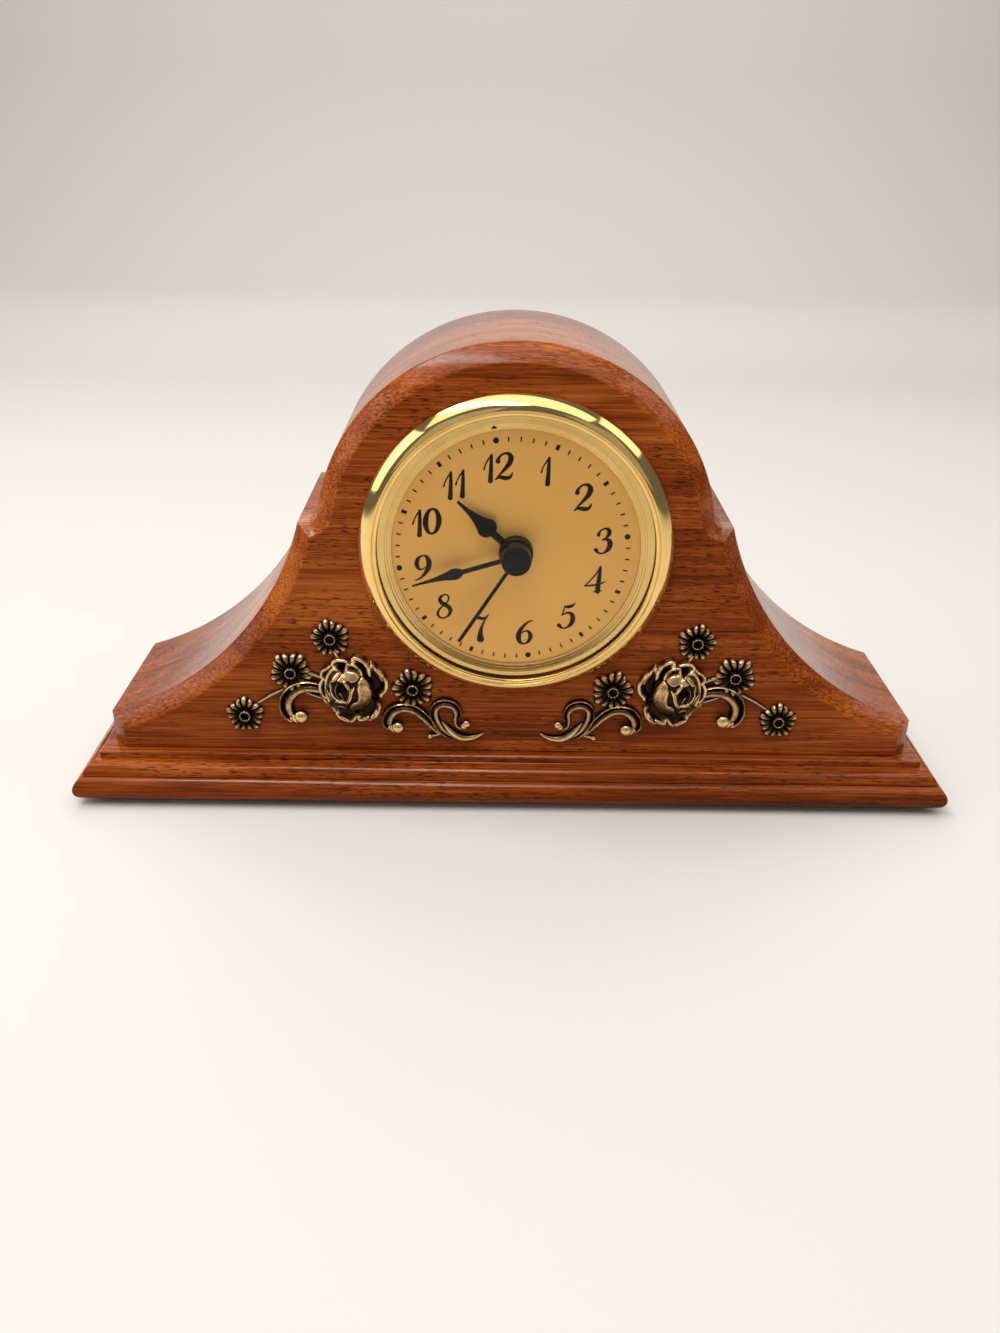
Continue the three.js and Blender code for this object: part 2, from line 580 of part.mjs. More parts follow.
const dial = () => tube(BUSH_RADIUS + PLAY, STACK_RADIUS, DIAL_BACK, DIAL_FRONT, ROUND);

const fixingNut = () => tube(BUSH_RADIUS + PLAY, NUT_RADIUS, NUT_BACK, BUSH_FRONT, FINE);

// A spade-shaped blade that points to twelve here; the hand is turned to its time when it is placed.
function blade(hand, back) {
  const right = (x, y) => new THREE.Vector2(x, y);
  const side = [
    right(hand.neck, 0),
    ...new THREE.QuadraticBezierCurve(
      right(hand.neck, hand.neckLength), right(hand.belly, hand.flare), right(hand.belly, hand.bellyAt),
    ).getPoints(4),
    ...new THREE.QuadraticBezierCurve(
      right(hand.belly, hand.bellyAt), right(hand.taper, hand.taperAt), right(hand.tip, hand.length),
    ).getPoints(4).slice(1),
  ];
  const left = side.map((p) => new THREE.Vector2(-p.x, p.y));
  return plate([...side, ...left.reverse()], back, back + HAND_THICKNESS);
}

const pipedHand = (hand, bladeBack, hubBack, hubFront, pipe) => cut(
  join(rod(hand.hub, hubBack, hubFront), blade(hand, bladeBack)),
  rod(pipe + PLAY, hubBack - OVERCUT, hubFront + OVERCUT),
);

const hourHand = () => pipedHand(HOUR, HOUR_BLADE_BACK, HOUR_HUB_BACK, HOUR_HUB_FRONT, HOUR_PIPE);

const minuteHand = () =>
  pipedHand(MINUTE, MINUTE_BLADE_BACK, MINUTE_HUB_BACK, MINUTE_HUB_FRONT, MINUTE_PIPE);

function secondHand() {
  const [back, half] = [SECOND_BLADE_BACK, SECOND_WIDTH / 2];
  const lowered = new THREE.Matrix4().makeShear(0, 0, 0, -SECOND_DROP / SECOND_LENGTH, 0, 0);
  const pointer = block(-half, half, 0, SECOND_LENGTH, 0, HAND_THICKNESS)
    .applyMatrix4(lowered).translate(0, 0, back);
  const cap = rod(SECOND_CAP, SECOND_CAP_BACK, SECOND_CAP_FRONT);
  const socket = rod(SECOND_ARBOR + PLAY, SECOND_CAP_BACK - OVERCUT, SECOND_CAP_FRONT - SEAT - PLAY);
  return cut(join(cap, pointer), socket);
}

// Movement: arbor places and depths of its layers, backwards from the dial

const MINUTE_AT = polar(MOTION_CENTRES, MINUTE_SIDE);
const THIRD_AT = polar(THIRD_CENTRES, THIRD_SIDE);
const INTERMEDIATE_AT = polar(INTERMEDIATE_CENTRES, INTERMEDIATE_SIDE);
const ROTOR_AT = INTERMEDIATE_AT.clone().add(polar(ROTOR_CENTRES, ROTOR_SIDE));
const MOVEMENT_FRONT = DIAL_BACK - SEAT;
const INNER_FRONT = MOVEMENT_FRONT - CASE_WALL;
const HOUR_LAYER = INNER_FRONT - LAYER_GAP;
const MINUTE_LAYER = HOUR_LAYER - WHEEL - LAYER_GAP;
const CLUTCH_LAYER = MINUTE_LAYER - WHEEL - SEAT;
const CENTRE_LAYER = CLUTCH_LAYER - CLUTCH_SPRING - SEAT;
const COLLAR_LAYER = CENTRE_LAYER - WHEEL - SEAT;
const THIRD_LAYER = COLLAR_LAYER - 2 * LAYER_GAP;
const SECOND_LAYER = THIRD_LAYER - WHEEL - 2 * LAYER_GAP;
const INTERMEDIATE_LAYER = SECOND_LAYER - WHEEL - LAYER_GAP;
const INNER_BACK = INTERMEDIATE_LAYER - WHEEL - 2 * LAYER_GAP;
const COVER_FRONT = INNER_BACK - SEAT;
const COVER_BACK = COVER_FRONT - CASE_WALL;
const CELL_BACK = COVER_BACK;
const CELL_FRONT = CELL_BACK + CELL_HEIGHT;
const CELL_SEAT = CELL_FRONT + CONTACT + 2 * SEAT;
const STATOR_FRONT = THIRD_LAYER;
const STATOR_BACK = STATOR_FRONT - STATOR_THICKNESS;
const BOARD_FRONT = SECOND_LAYER - LAYER_GAP;
const BOARD_BACK = BOARD_FRONT - BOARD.thickness;
const MAGNET_BACK = (STATOR_FRONT + STATOR_BACK - MAGNET_HEIGHT) / 2;

const toothModule = (centres, a, b) => (2 * centres) / (TEETH[a] + TEETH[b]);
const MOTION_MODULE = toothModule(MOTION_CENTRES, "cannon", "minute");
const HOUR_MODULE = toothModule(MOTION_CENTRES, "minutePinion", "hour");
const CENTRE_MODULE = toothModule(THIRD_CENTRES, "thirdPinion", "centre");
const THIRD_MODULE = toothModule(THIRD_CENTRES, "secondPinion", "third");
const SECOND_MODULE = toothModule(INTERMEDIATE_CENTRES, "second", "intermediatePinion");
const ROTOR_MODULE = toothModule(ROTOR_CENTRES, "intermediate", "rotor");

const tipRadius = (wheel, module) => module * (TEETH[wheel] / 2 + ADDENDUM);

// Sizes of the movement that follow from its wheels, coil and cell
const STATOR_BOTTOM = THIRD_AT.y + tipRadius("third", THIRD_MODULE) + LAYER_GAP;
const STATOR_TOP = ROTOR_AT.y + MAGNET_RADIUS + MAGNET_GAP + STATOR_BRIDGE;
const COIL_AT = STATOR_TOP + COIL_RADIUS + 2 * SEAT;
const CASE_TOP = COIL_AT + COIL_RADIUS + CASE_CLEARANCE + CASE_WALL;
const CASE_RIGHT = CELL_CENTRE[0] + CELL_RADIUS + CELL_PLAY + CASE_CLEARANCE + CASE_WALL;
const CONTACT_EDGE = CELL_CENTRE[1] - CELL_RADIUS - GRIP_PLAY;
const CASE_BOTTOM = CONTACT_EDGE - CONTACT - CASE_CLEARANCE - CASE_WALL;
const STATOR_RIGHT = CASE_RIGHT - STATOR_INSET;
const COVER_SCREWS = [
  [CASE_LEFT + COVER_SCREW_INSET, CASE_TOP - COVER_SCREW_INSET],
  [CASE_RIGHT - COVER_SCREW_INSET, CASE_TOP - COVER_SCREW_INSET],
  [CASE_LEFT + COVER_SCREW_INSET, COVER_SCREW_LOW],
];

// Angle of the first tooth of wheel b, which meets wheel a in the given direction, when a's first is at 0.
function inMesh(side, a, b) {
  const share = ((side * TEETH[a]) / (2 * Math.PI)) % 1;
  return side + Math.PI + ((share - 0.5) * 2 * Math.PI) / TEETH[b];
}

// A toothed disc with short pointed teeth that run with plenty of backlash.
function gear(wheel, module, back, front, phase = 0) {
  const count = TEETH[wheel];
  const pitch = (2 * Math.PI) / count;
  const radius = (module * count) / 2;
  const outline = Array.from({ length: count }, (_, i) => {
    const tooth = phase + i * pitch;
    return [
      polar(radius - DEDENDUM * module, tooth - ROOT_SHARE * pitch),
      polar(tipRadius(wheel, module), tooth),
      polar(radius - DEDENDUM * module, tooth + ROOT_SHARE * pitch),
    ];
  }).flat();
  return plate(outline, back, front);
}

// An arbor between its bearing holes in the case front and the cover.
const arbor = (back = COVER_FRONT - PIVOT) => rod(ARBOR, back, INNER_FRONT + PIVOT, 10);

const hourWheel = () => cut(
  join(
    gear("hour", HOUR_MODULE, HOUR_LAYER - WHEEL, HOUR_LAYER),
    rod(HOUR_PIPE, HOUR_LAYER - WHEEL, HOUR_HUB_FRONT),
  ),
  rod(MINUTE_PIPE + PLAY, HOUR_LAYER - WHEEL - OVERCUT, HOUR_HUB_FRONT + OVERCUT),
);

const cannonArbor = () => cut(
  join(
    gear("cannon", MOTION_MODULE, MINUTE_LAYER - WHEEL, MINUTE_LAYER),
    rod(MINUTE_PIPE, COLLAR_LAYER - LAYER_GAP, MINUTE_HUB_FRONT),
    rod(MINUTE_PIPE + COLLAR_RIM, COLLAR_LAYER - LAYER_GAP, COLLAR_LAYER),
  ),
  rod(SECOND_ARBOR + PLAY, COLLAR_LAYER - LAYER_GAP - OVERCUT, MINUTE_HUB_FRONT + OVERCUT),
);

const clutchSpring = () =>
  tube(MINUTE_PIPE + PLAY, MINUTE_PIPE + CLUTCH_RIM, CLUTCH_LAYER - CLUTCH_SPRING, CLUTCH_LAYER, FINE);

const centreWheel = () => cut(
  gear("centre", CENTRE_MODULE, CENTRE_LAYER - WHEEL, CENTRE_LAYER),
  rod(MINUTE_PIPE + PLAY, CENTRE_LAYER - WHEEL - OVERCUT, CENTRE_LAYER + OVERCUT),
);

const minuteWheel = () => join(
  gear("minute", MOTION_MODULE, MINUTE_LAYER - WHEEL, MINUTE_LAYER, inMesh(MINUTE_SIDE, "cannon", "minute")),
  gear("minutePinion", HOUR_MODULE, MINUTE_LAYER - WHEEL, HOUR_LAYER,
    inMesh(MINUTE_SIDE, "hour", "minutePinion")),
  arbor(COVER_BACK - KNOB_HEIGHT),
);

const thirdWheel = () => join(
  gear("third", THIRD_MODULE, THIRD_LAYER - WHEEL, THIRD_LAYER, inMesh(THIRD_SIDE, "secondPinion", "third")),
  gear("thirdPinion", CENTRE_MODULE, THIRD_LAYER, CENTRE_LAYER, inMesh(THIRD_SIDE, "centre", "thirdPinion")),
  arbor(),
);

const secondWheel = () => join(
  gear("second", SECOND_MODULE, SECOND_LAYER - WHEEL, SECOND_LAYER),
  gear("secondPinion", THIRD_MODULE, SECOND_LAYER - WHEEL, THIRD_LAYER),
  rod(SECOND_ARBOR, COVER_FRONT - PIVOT, SECOND_CAP_FRONT - 2 * SEAT - 2 * PLAY, 10),
);

const intermediateWheel = () => join(
  gear("intermediate", ROTOR_MODULE, INTERMEDIATE_LAYER - WHEEL, INTERMEDIATE_LAYER),
  gear("intermediatePinion", SECOND_MODULE, INTERMEDIATE_LAYER - WHEEL, SECOND_LAYER,
    inMesh(INTERMEDIATE_SIDE, "second", "intermediatePinion")),
  arbor(),
);

const rotor = () => join(
  gear("rotor", ROTOR_MODULE, INTERMEDIATE_LAYER - WHEEL, INTERMEDIATE_LAYER,
    inMesh(ROTOR_SIDE, "intermediate", "rotor")),
  arbor(),
);

const rotorMagnet = () =>
  tube(ARBOR + SEAT, MAGNET_RADIUS, MAGNET_BACK, MAGNET_BACK + MAGNET_HEIGHT, FINE);

function settingKnob() {
  const steps = 2 * KNOB_RIBS;
  const ribs = Array.from({ length: steps }, (_, i) =>
    polar(KNOB_RADIUS - (i % 2) * KNOB_RIB_DEPTH, (2 * Math.PI * i) / steps));
  const front = COVER_BACK - SEAT;
  const socket = rod(ARBOR + SEAT, COVER_BACK - KNOB_HEIGHT - SEAT, front + OVERCUT, 10);
  return cut(plate(ribs, front - KNOB_HEIGHT - SEAT, front), socket);
}

function caseOutline(inset) {
  const [left, right] = [CASE_LEFT + inset, CASE_RIGHT - inset];
  const [bottom, top] = [CASE_BOTTOM + inset, CASE_TOP - inset];
  const corner = CASE_CORNER - inset;
  const centres = [
    [right - corner, bottom + corner], [right - corner, top - corner],
    [left + corner, top - corner], [left + corner, bottom + corner],
  ];
  return centres.flatMap(([x, y], i) =>
    arc(new THREE.Vector2(x, y), corner, ((i - 1) * Math.PI) / 2, (i * Math.PI) / 2, 3));
}

const STATOR_POSTS = [
  [STATOR_LEFT + 1.5 * STATOR_LEG, (STATOR_BOTTOM + STATOR_TOP) / 2],
  [STATOR_RIGHT - 1.5 * STATOR_LEG, (STATOR_BOTTOM + STATOR_TOP) / 2],
];
const BOARD_POSTS = [
  [BOARD.left + 2 * POST_RADIUS, (BOARD.bottom + BOARD.top) / 2],
  [BOARD.right - 2 * POST_RADIUS, (BOARD.bottom + BOARD.top) / 2],
];

function movementCase() {
  const post = ([x, y], radius, back) => rod(radius, back, INNER_FRONT + SEAT, 10).translate(x, y, 0);
  const shell = cut(
    plate(caseOutline(0), INNER_BACK, MOVEMENT_FRONT),
    plate(caseOutline(CASE_WALL), INNER_BACK - OVERCUT, INNER_FRONT),
  );
  const solid = join(
    shell,
    rod(BUSH_RADIUS, INNER_FRONT, BUSH_FRONT),
    post(CELL_CENTRE, CELL_RADIUS, CELL_SEAT),
    ...STATOR_POSTS.map((at) => post(at, POST_RADIUS, STATOR_FRONT + SEAT)),
    ...BOARD_POSTS.map((at) => post(at, POST_RADIUS, BOARD_FRONT + SEAT)),
    ...COVER_SCREWS.map((at) => post(at, COVER_SCREW_POST, INNER_BACK)),
  );
  const bearing = ({ x, y }) =>
    rod(ARBOR + PLAY, INNER_FRONT - OVERCUT, INNER_FRONT + PIVOT + SEAT, 10).translate(x, y, 0);
  const pilotEnd = INNER_BACK + COVER_SCREW_REACH + SEAT;
  const pilot = ([x, y]) =>
    rod(COVER_SCREW_SHANK + SEAT, INNER_BACK - OVERCUT, pilotEnd, 10).translate(x, y, 0);
  return cut(
    solid,
    rod(HOUR_PIPE + PLAY, INNER_FRONT - OVERCUT, BUSH_FRONT + OVERCUT),
    ...[MINUTE_AT, THIRD_AT, INTERMEDIATE_AT, ROTOR_AT].map(bearing),
    ...COVER_SCREWS.map(pilot),
  );
}

function movementCover() {
  const hole = ({ x, y }, radius, back, sides = 10) =>
    rod(radius, back, COVER_FRONT + OVERCUT, sides).translate(x, y, 0);
  const blind = COVER_FRONT - PIVOT - SEAT;
  const through = COVER_BACK - OVERCUT;
  return cut(
    plate(caseOutline(0), COVER_BACK, COVER_FRONT),
    hole(new THREE.Vector2(), SECOND_ARBOR + PLAY, blind),
    ...[THIRD_AT, INTERMEDIATE_AT, ROTOR_AT].map((at) => hole(at, ARBOR + PLAY, blind)),
    hole(MINUTE_AT, ARBOR + PLAY, through),
    hole(new THREE.Vector2(...CELL_CENTRE), CELL_RADIUS + CELL_PLAY, through, 24),
    ...COVER_SCREWS.map(([x, y]) => hole({ x, y }, COVER_SCREW_SHANK + SEAT, through)),
  );
}

function coverScrew() {
  const under = COVER_BACK - SEAT;
  const top = under - COVER_SCREW_HEAD_HEIGHT;
  const tip = INNER_BACK + COVER_SCREW_REACH;
  const screw = ring([
    [0, top], [COVER_SCREW_HEAD, top], [COVER_SCREW_HEAD, under], [COVER_SCREW_SHANK, under],
    [COVER_SCREW_SHANK, tip], [0, tip],
  ], 12);
  const [reach, half] = [COVER_SCREW_HEAD + OVERCUT, COVER_SLOT / 2];
  return cut(screw, block(-reach, reach, -half, half, top - OVERCUT, (top + under) / 2));
}

function stator() {
  const [left, right] = [STATOR_LEFT, STATOR_RIGHT];
  const top = STATOR_TOP + STATOR_LEG_LENGTH;
  const outline = new THREE.Shape([
    [left, STATOR_BOTTOM], [right, STATOR_BOTTOM], [right, top], [right - STATOR_LEG, top],
    [right - STATOR_LEG, STATOR_TOP], [left + STATOR_LEG, STATOR_TOP], [left + STATOR_LEG, top], [left, top],
  ].map(([x, y]) => new THREE.Vector2(x, y)));
  const hole = new THREE.Path();
  hole.absarc(ROTOR_AT.x, ROTOR_AT.y, MAGNET_RADIUS + MAGNET_GAP, 0, 2 * Math.PI, true);
  outline.holes.push(hole);
  return plate(outline, STATOR_BACK, STATOR_FRONT, 8);
}

function coil() {
  const half = (STATOR_RIGHT - STATOR_LEFT) / 2 - STATOR_LEG - 2 * SEAT;
  const cheek = half - COIL_FLANGE;
  const middle = new THREE.Vector3(
    (STATOR_LEFT + STATOR_RIGHT) / 2, COIL_AT, (STATOR_FRONT + STATOR_BACK) / 2);
  return turned([
    [0, -half], [COIL_RADIUS, -half], [COIL_RADIUS, -cheek], [COIL_CORE, -cheek],
    [COIL_CORE, cheek], [COIL_RADIUS, cheek], [COIL_RADIUS, half], [0, half],
  ], 12).rotateZ(Math.PI / 2).translate(...middle);
}

const circuitBoard = () =>
  block(BOARD.left, BOARD.right, BOARD.bottom, BOARD.top, BOARD_BACK, BOARD_FRONT);

const crystal = () => new THREE.CylinderGeometry(CRYSTAL_RADIUS, CRYSTAL_RADIUS, CRYSTAL_LENGTH, 10)
  .rotateZ(Math.PI / 2)
  .translate(BOARD.left + CRYSTAL_LENGTH, (BOARD.bottom + BOARD.top) / 2, BOARD_BACK - SEAT - CRYSTAL_RADIUS);

const chipCover = () => ring([
  [0, BOARD_BACK - SEAT], [BLOB_RADIUS, BOARD_BACK - SEAT], [BLOB_TOP, BOARD_BACK - BLOB_HEIGHT],
  [0, BOARD_BACK - BLOB_HEIGHT],
], 12).translate(BOARD.right - 2 * BLOB_RADIUS, (BOARD.bottom + BOARD.top) / 2, 0);

const buttonCell = () => ring([
  [0, CELL_BACK], [CELL_RADIUS - CELL_RIM, CELL_BACK], [CELL_RADIUS, CELL_BACK + CELL_RIM],
  [CELL_RADIUS, CELL_FRONT - CELL_CAP_HEIGHT], [CELL_CAP, CELL_FRONT], [0, CELL_FRONT],
], 24).translate(...CELL_CENTRE, 0);

// Flat spring under the cell, with a tail that runs over the edge of its seat to the board.
function contactNegative() {
  const [x, y] = CELL_CENTRE;
  const [back, half] = [CELL_FRONT + SEAT, CONTACT_WIDTH / 2];
  return block(BOARD.right + SEAT, x + CELL_RADIUS / 2, y - half, y + half, back, back + CONTACT);
}

// Upright spring beside the cell, standing on the case front.
function contactPositive() {
  const [left, right] = [CELL_CENTRE[0] - CONTACT_WIDTH / 2, CELL_CENTRE[0] + CONTACT_WIDTH / 2];
  const back = COVER_FRONT + 2 * SEAT;
  return block(left, right, CONTACT_EDGE - CONTACT, CONTACT_EDGE, back, INNER_FRONT - SEAT);
}

// Assembly

const WOOD = 0x8a4a2a;
const GOLD = 0xd9b65a;
const BLACK = 0x17181a;
const NYLON = 0xe6e2d6;
const STEEL = 0xb8babd;

const wood = new THREE.Group();
wood.position.y = FOOT_HEIGHT;
const body = mesh("case_body", caseBody(), WOOD, 0.42);
body.position.y = PLINTH_HEIGHT + SEAT;
wood.add(mesh("plinth", plinth(), WOOD, 0.42), body);
for (const [side, x] of Object.entries(SCREW_PLACES)) {
  const screw = mesh(`base_screw_${side}`, baseScrew(), STEEL, 0.35, 1);
  screw.position.set(x, 0, CASE_MIDDLE);
  wood.add(screw);
}
for (const [side, sign] of [["left", -1], ["right", 1]]) {
  const shape = spray.clone().scale(sign, 1, 1);
  const piece = mesh(`rose_spray_${side}`, shape, 0x7d6536, 0.45, 1);
  piece.position.y = PLINTH_HEIGHT + SEAT + DIAL_HEIGHT - BEZEL_RADIUS - SPRAY_DATUM;
  wood.add(piece);
}

const feet = new THREE.Group();
const footX = BODY_WIDTH / 2 + PLINTH_OVERHANG - FOOT_INSET;
const footZ = BODY_DEPTH / 2 + PLINTH_OVERHANG - FOOT_INSET;
for (const [end, z] of [["front", footZ], ["rear", -footZ]]) {
  for (const [side, x] of [["left", -footX], ["right", footX]]) {
    const piece = mesh(`foot_${end}_${side}`, foot(), 0x2b2622, 0.9);
    piece.position.set(x, 0, CASE_MIDDLE + z);
    feet.add(piece);
  }
}

const insert = new THREE.Group();
insert.position.y = FOOT_HEIGHT + PLINTH_HEIGHT + SEAT + DIAL_HEIGHT;
insert.rotation.z = INSERT_TURN;
insert.add(
  mesh("insert_sleeve", sleeve(), BLACK, 0.5),
  mesh("grip_ring", gripRing(), 0x202020, 0.85),
  mesh("bezel", bezel(), GOLD, 0.12, 1),
  mesh("lens", lens(), 0xf4f7f7, 0.03),
  mesh("dial_ring", dialRing(), GOLD, 0.3, 1),
  mesh("dial", dial(), 0xc9a25c, 0.4, 0.8),
  mesh("fixing_nut", fixingNut(), BLACK, 0.4, 0.5),
  mesh("movement_case", movementCase(), BLACK, 0.55),
  mesh("movement_cover", movementCover(), BLACK, 0.55),
  mesh("stator", stator(), STEEL, 0.4, 1),
  mesh("coil", coil(), 0xb56a35, 0.5, 0.6),
  mesh("circuit_board", circuitBoard(), 0x2f6b45, 0.5),
  mesh("crystal", crystal(), STEEL, 0.25, 1),
  mesh("chip_cover", chipCover(), BLACK, 0.35),
  mesh("button_cell", buttonCell(), STEEL, 0.2, 1),
  mesh("contact_negative", contactNegative(), STEEL, 0.3, 1),
  mesh("contact_positive", contactPositive(), STEEL, 0.3, 1),
  mesh("hour_wheel", hourWheel(), NYLON, 0.5),
  mesh("cannon_arbor", cannonArbor(), NYLON, 0.5),
  mesh("clutch_spring", clutchSpring(), STEEL, 0.3, 1),
  mesh("centre_wheel", centreWheel(), NYLON, 0.5),
  mesh("second_wheel", secondWheel(), NYLON, 0.5),
);
COVER_SCREWS.forEach(([x, y], i) => {
  const screw = mesh(`cover_screw_${i + 1}`, coverScrew(), STEEL, 0.35, 1);
  screw.position.set(x, y, 0);
  insert.add(screw);
});
const onArbors = [
  ["minute_wheel", minuteWheel(), NYLON, MINUTE_AT],
  ["setting_knob", settingKnob(), BLACK, MINUTE_AT],
  ["third_wheel", thirdWheel(), NYLON, THIRD_AT],
  ["intermediate_wheel", intermediateWheel(), NYLON, INTERMEDIATE_AT],
  ["rotor", rotor(), NYLON, ROTOR_AT],
  ["rotor_magnet", rotorMagnet(), 0x4a4a4e, ROTOR_AT],
];
for (const [name, geometry, color, at] of onArbors) {
  const piece = mesh(name, geometry, color, 0.5);
  piece.position.set(at.x, at.y, 0);
  insert.add(piece);
}
const hands = [
  ["hour_hand", hourHand(), HOUR_ANGLE],
  ["minute_hand", minuteHand(), MINUTE_ANGLE],
  ["second_hand", secondHand(), SECOND_ANGLE],
];
for (const [name, geometry, angle] of hands) {
  const hand = mesh(name, geometry, BLACK, 0.4);
  hand.rotation.z = -angle;
  insert.add(hand);
}

// Stand the clock up on +Z, with the origin under the middle of its box.
const clock = new THREE.Group();
clock.add(wood, feet, insert);
clock.rotation.x = Math.PI / 2;
clock.position.y = (LENS_APEX - BODY_DEPTH - PLINTH_OVERHANG) / 2;
const part = new THREE.Group();
part.add(clock);

export default part;
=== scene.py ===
"""Wooden mantel clock: the visible pieces and finishes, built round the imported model."""
from math import asin, atan2, cos, pi, radians, sin, sqrt

import bmesh
import bpy
import numpy as np
from bpy.props import FloatProperty, FloatVectorProperty, PointerProperty
from mathutils import Matrix, Vector
from mathutils.geometry import tessellate_polygon


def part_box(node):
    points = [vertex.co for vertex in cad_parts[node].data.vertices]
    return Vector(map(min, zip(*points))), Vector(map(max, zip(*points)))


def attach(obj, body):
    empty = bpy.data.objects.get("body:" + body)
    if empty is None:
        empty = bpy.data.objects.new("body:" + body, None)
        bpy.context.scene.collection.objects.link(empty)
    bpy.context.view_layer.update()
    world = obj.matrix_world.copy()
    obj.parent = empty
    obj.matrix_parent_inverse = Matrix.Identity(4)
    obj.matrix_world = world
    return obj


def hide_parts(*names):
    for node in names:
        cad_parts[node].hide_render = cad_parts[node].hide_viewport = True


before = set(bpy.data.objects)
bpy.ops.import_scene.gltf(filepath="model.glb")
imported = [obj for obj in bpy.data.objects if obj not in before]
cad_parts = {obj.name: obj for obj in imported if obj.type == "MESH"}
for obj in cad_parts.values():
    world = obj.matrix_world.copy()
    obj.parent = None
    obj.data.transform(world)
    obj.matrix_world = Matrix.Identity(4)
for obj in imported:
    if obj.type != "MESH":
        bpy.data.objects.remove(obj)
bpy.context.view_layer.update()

bl_info = {
    "name": "Wooden mantel clock",
    "version": (1, 0, 0),
    "blender": (4, 5, 0),
    "location": "3D View > Sidebar > Clock",
    "description": "Builds the case, sprays, insert, dial, hands and movement of a mantel clock",
    "category": "Add Mesh",
}

# Places, in millimetres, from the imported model. Pieces are drawn as seen from the front:
# x to the right, y up, z towards the viewer, with z = 0 on the front face of the wood.
MM = 0.001
CASE_LOW, CASE_HIGH = (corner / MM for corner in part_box("case_body"))
PLINTH_LOW, PLINTH_HIGH = (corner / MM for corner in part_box("plinth"))
BEZEL_LOW, BEZEL_HIGH = (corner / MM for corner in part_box("bezel"))
FACE = CASE_LOW.y
CASE_FOOT = CASE_LOW.z
CASE_DEPTH = CASE_HIGH.y - CASE_LOW.y
DIAL_AXIS = (BEZEL_LOW.z + BEZEL_HIGH.z) / 2


def depth_of(node):
    """Back and front of a node, along z."""
    low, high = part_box(node)
    return FACE - high.y / MM, FACE - low.y / MM


# Case outline, measured up from the top of the plinth
HALF_WIDTH = (CASE_HIGH.x - CASE_LOW.x) / 2
FOOT_END = 9.8
SHOULDER = (62.6, 72.4)
SWEEP_RADIUS, SWEEP_STEPS = 91, 30
DOME_RADIUS, DOME_STEPS = 57.4, 44
DIAL_HEIGHT = DIAL_AXIS - CASE_FOOT
COVE_RADIUS, COVE_STEPS = 3, 10
CHAMFER_WIDTH = 4.7
CHAMFER_DEPTH = 5
SHOULDER_CHAMFER = 3.4
CHAMFER_COVE = 10
BORE_RADIUS, BORE_SIDES = 38, 120
ARRIS = 0.35

# Plinth moulding, as overhang past the case and height; the rounds have their radius as well
PLINTH_HEIGHT = PLINTH_HIGH.z - PLINTH_LOW.z
BULLNOSE = (6.35, 4, 4)
BULLNOSE_END = radians(65)
OVOLO = (3.8, 7.9, 3.6)
FILLET = 2.8
QUIRK_DEPTH, QUIRK_EASE = 0.5, 0.12
STEP_EASE, TOP_EASE = 0.15, 0.3
SCREW_PLACES = (-85, 85)
WELL_RADIUS, WELL_DEPTH = 4.25, 3.15

# Insert, with its turn in the bore; the second hand drops towards its tip
INSERT_TURN = radians(9.08)
SEAT_RADIUS = 39.9
LENS_INNER, LENS_OUTER = 38.0, 38.6
LENS_RIM, LENS_WALL = 0.8, 1.2
BUSH_RADIUS = 4.15
HANDS = (
    # body, angle, radii of the hub, sizes for blade_outline, lift of the blade over the hub's back
    ("hour", radians(321.8), (3.15, 4.8), (1.05, 8.9, 9.3, 2.9, 11.7, 0.55, 15.6, 0.42, 22.4), 0.5),
    ("minute", radians(261.6), (2.15, 4.3), (0.7, 15.8, 16.5, 1.75, 18.6, 0.4, 22.5, 0.28, 30.8), 0.55),
)
HUB_EASE, HAND_EASE, CAP_EASE = 0.3, 0.12, 0.1
BLADE_THICKNESS = 0.4
SECOND_ANGLE = radians(220.8)
SECOND_BLADE, SECOND_LENGTH = 7.4, 30.7
SECOND_HALF, SECOND_TIP, SECOND_TAPER = 0.53, 0.4, 0.2
SECOND_DROP = 1.21 / SECOND_LENGTH

# Right-hand spray, as distances from the clock's middle and heights over the plinth
SPRAY_SEAT = 0.15
ROSE = (48.0, 21.9)
DAISIES = (
    # middle, turn and reach
    (81.4, 12.5, 0.3, 6.15), (66.6, 27.3, 0.9, 6.75), (54.2, 38.7, 0.1, 6.15), (30.2, 22.2, 1.3, 6.8),
)
SCROLLS = (
    # side of the thin rim, then points with half widths
    (1, ((57.6, 21.8, 1.7), (60.4, 22.6, 2), (63.4, 22.5, 2.2), (66.1, 21.2, 2.4), (68.2, 18.5, 2.4),
     (68.7, 15.4, 2.3), (67.6, 12.6, 2), (65.4, 11.6, 1.4))),
    (1, ((20.6, 6.2, 0.6), (22.6, 7.6, 1.1), (24.8, 10, 1.4), (27.2, 12.9, 1.65), (29.9, 15.1, 1.75),
     (32.9, 15.8, 1.8), (35.8, 15, 1.95), (37.6, 12.7, 2), (38, 10.2, 1.8), (36.8, 8.5, 1.2))),
    (-1, ((17.6, 5.4, 0.6), (19.6, 6.2, 0.9), (21.9, 8.5, 1.25), (23.5, 11.7, 1.4), (23.8, 14.8, 1.5),
     (22.5, 16.8, 1.6), (20.3, 17.4, 1.65), (17.8, 16.4, 1.55), (16.7, 14, 1.35), (17, 11.7, 1.05),
     (16.7, 9.7, 0.95), (15.3, 8.8, 0.9))),
)
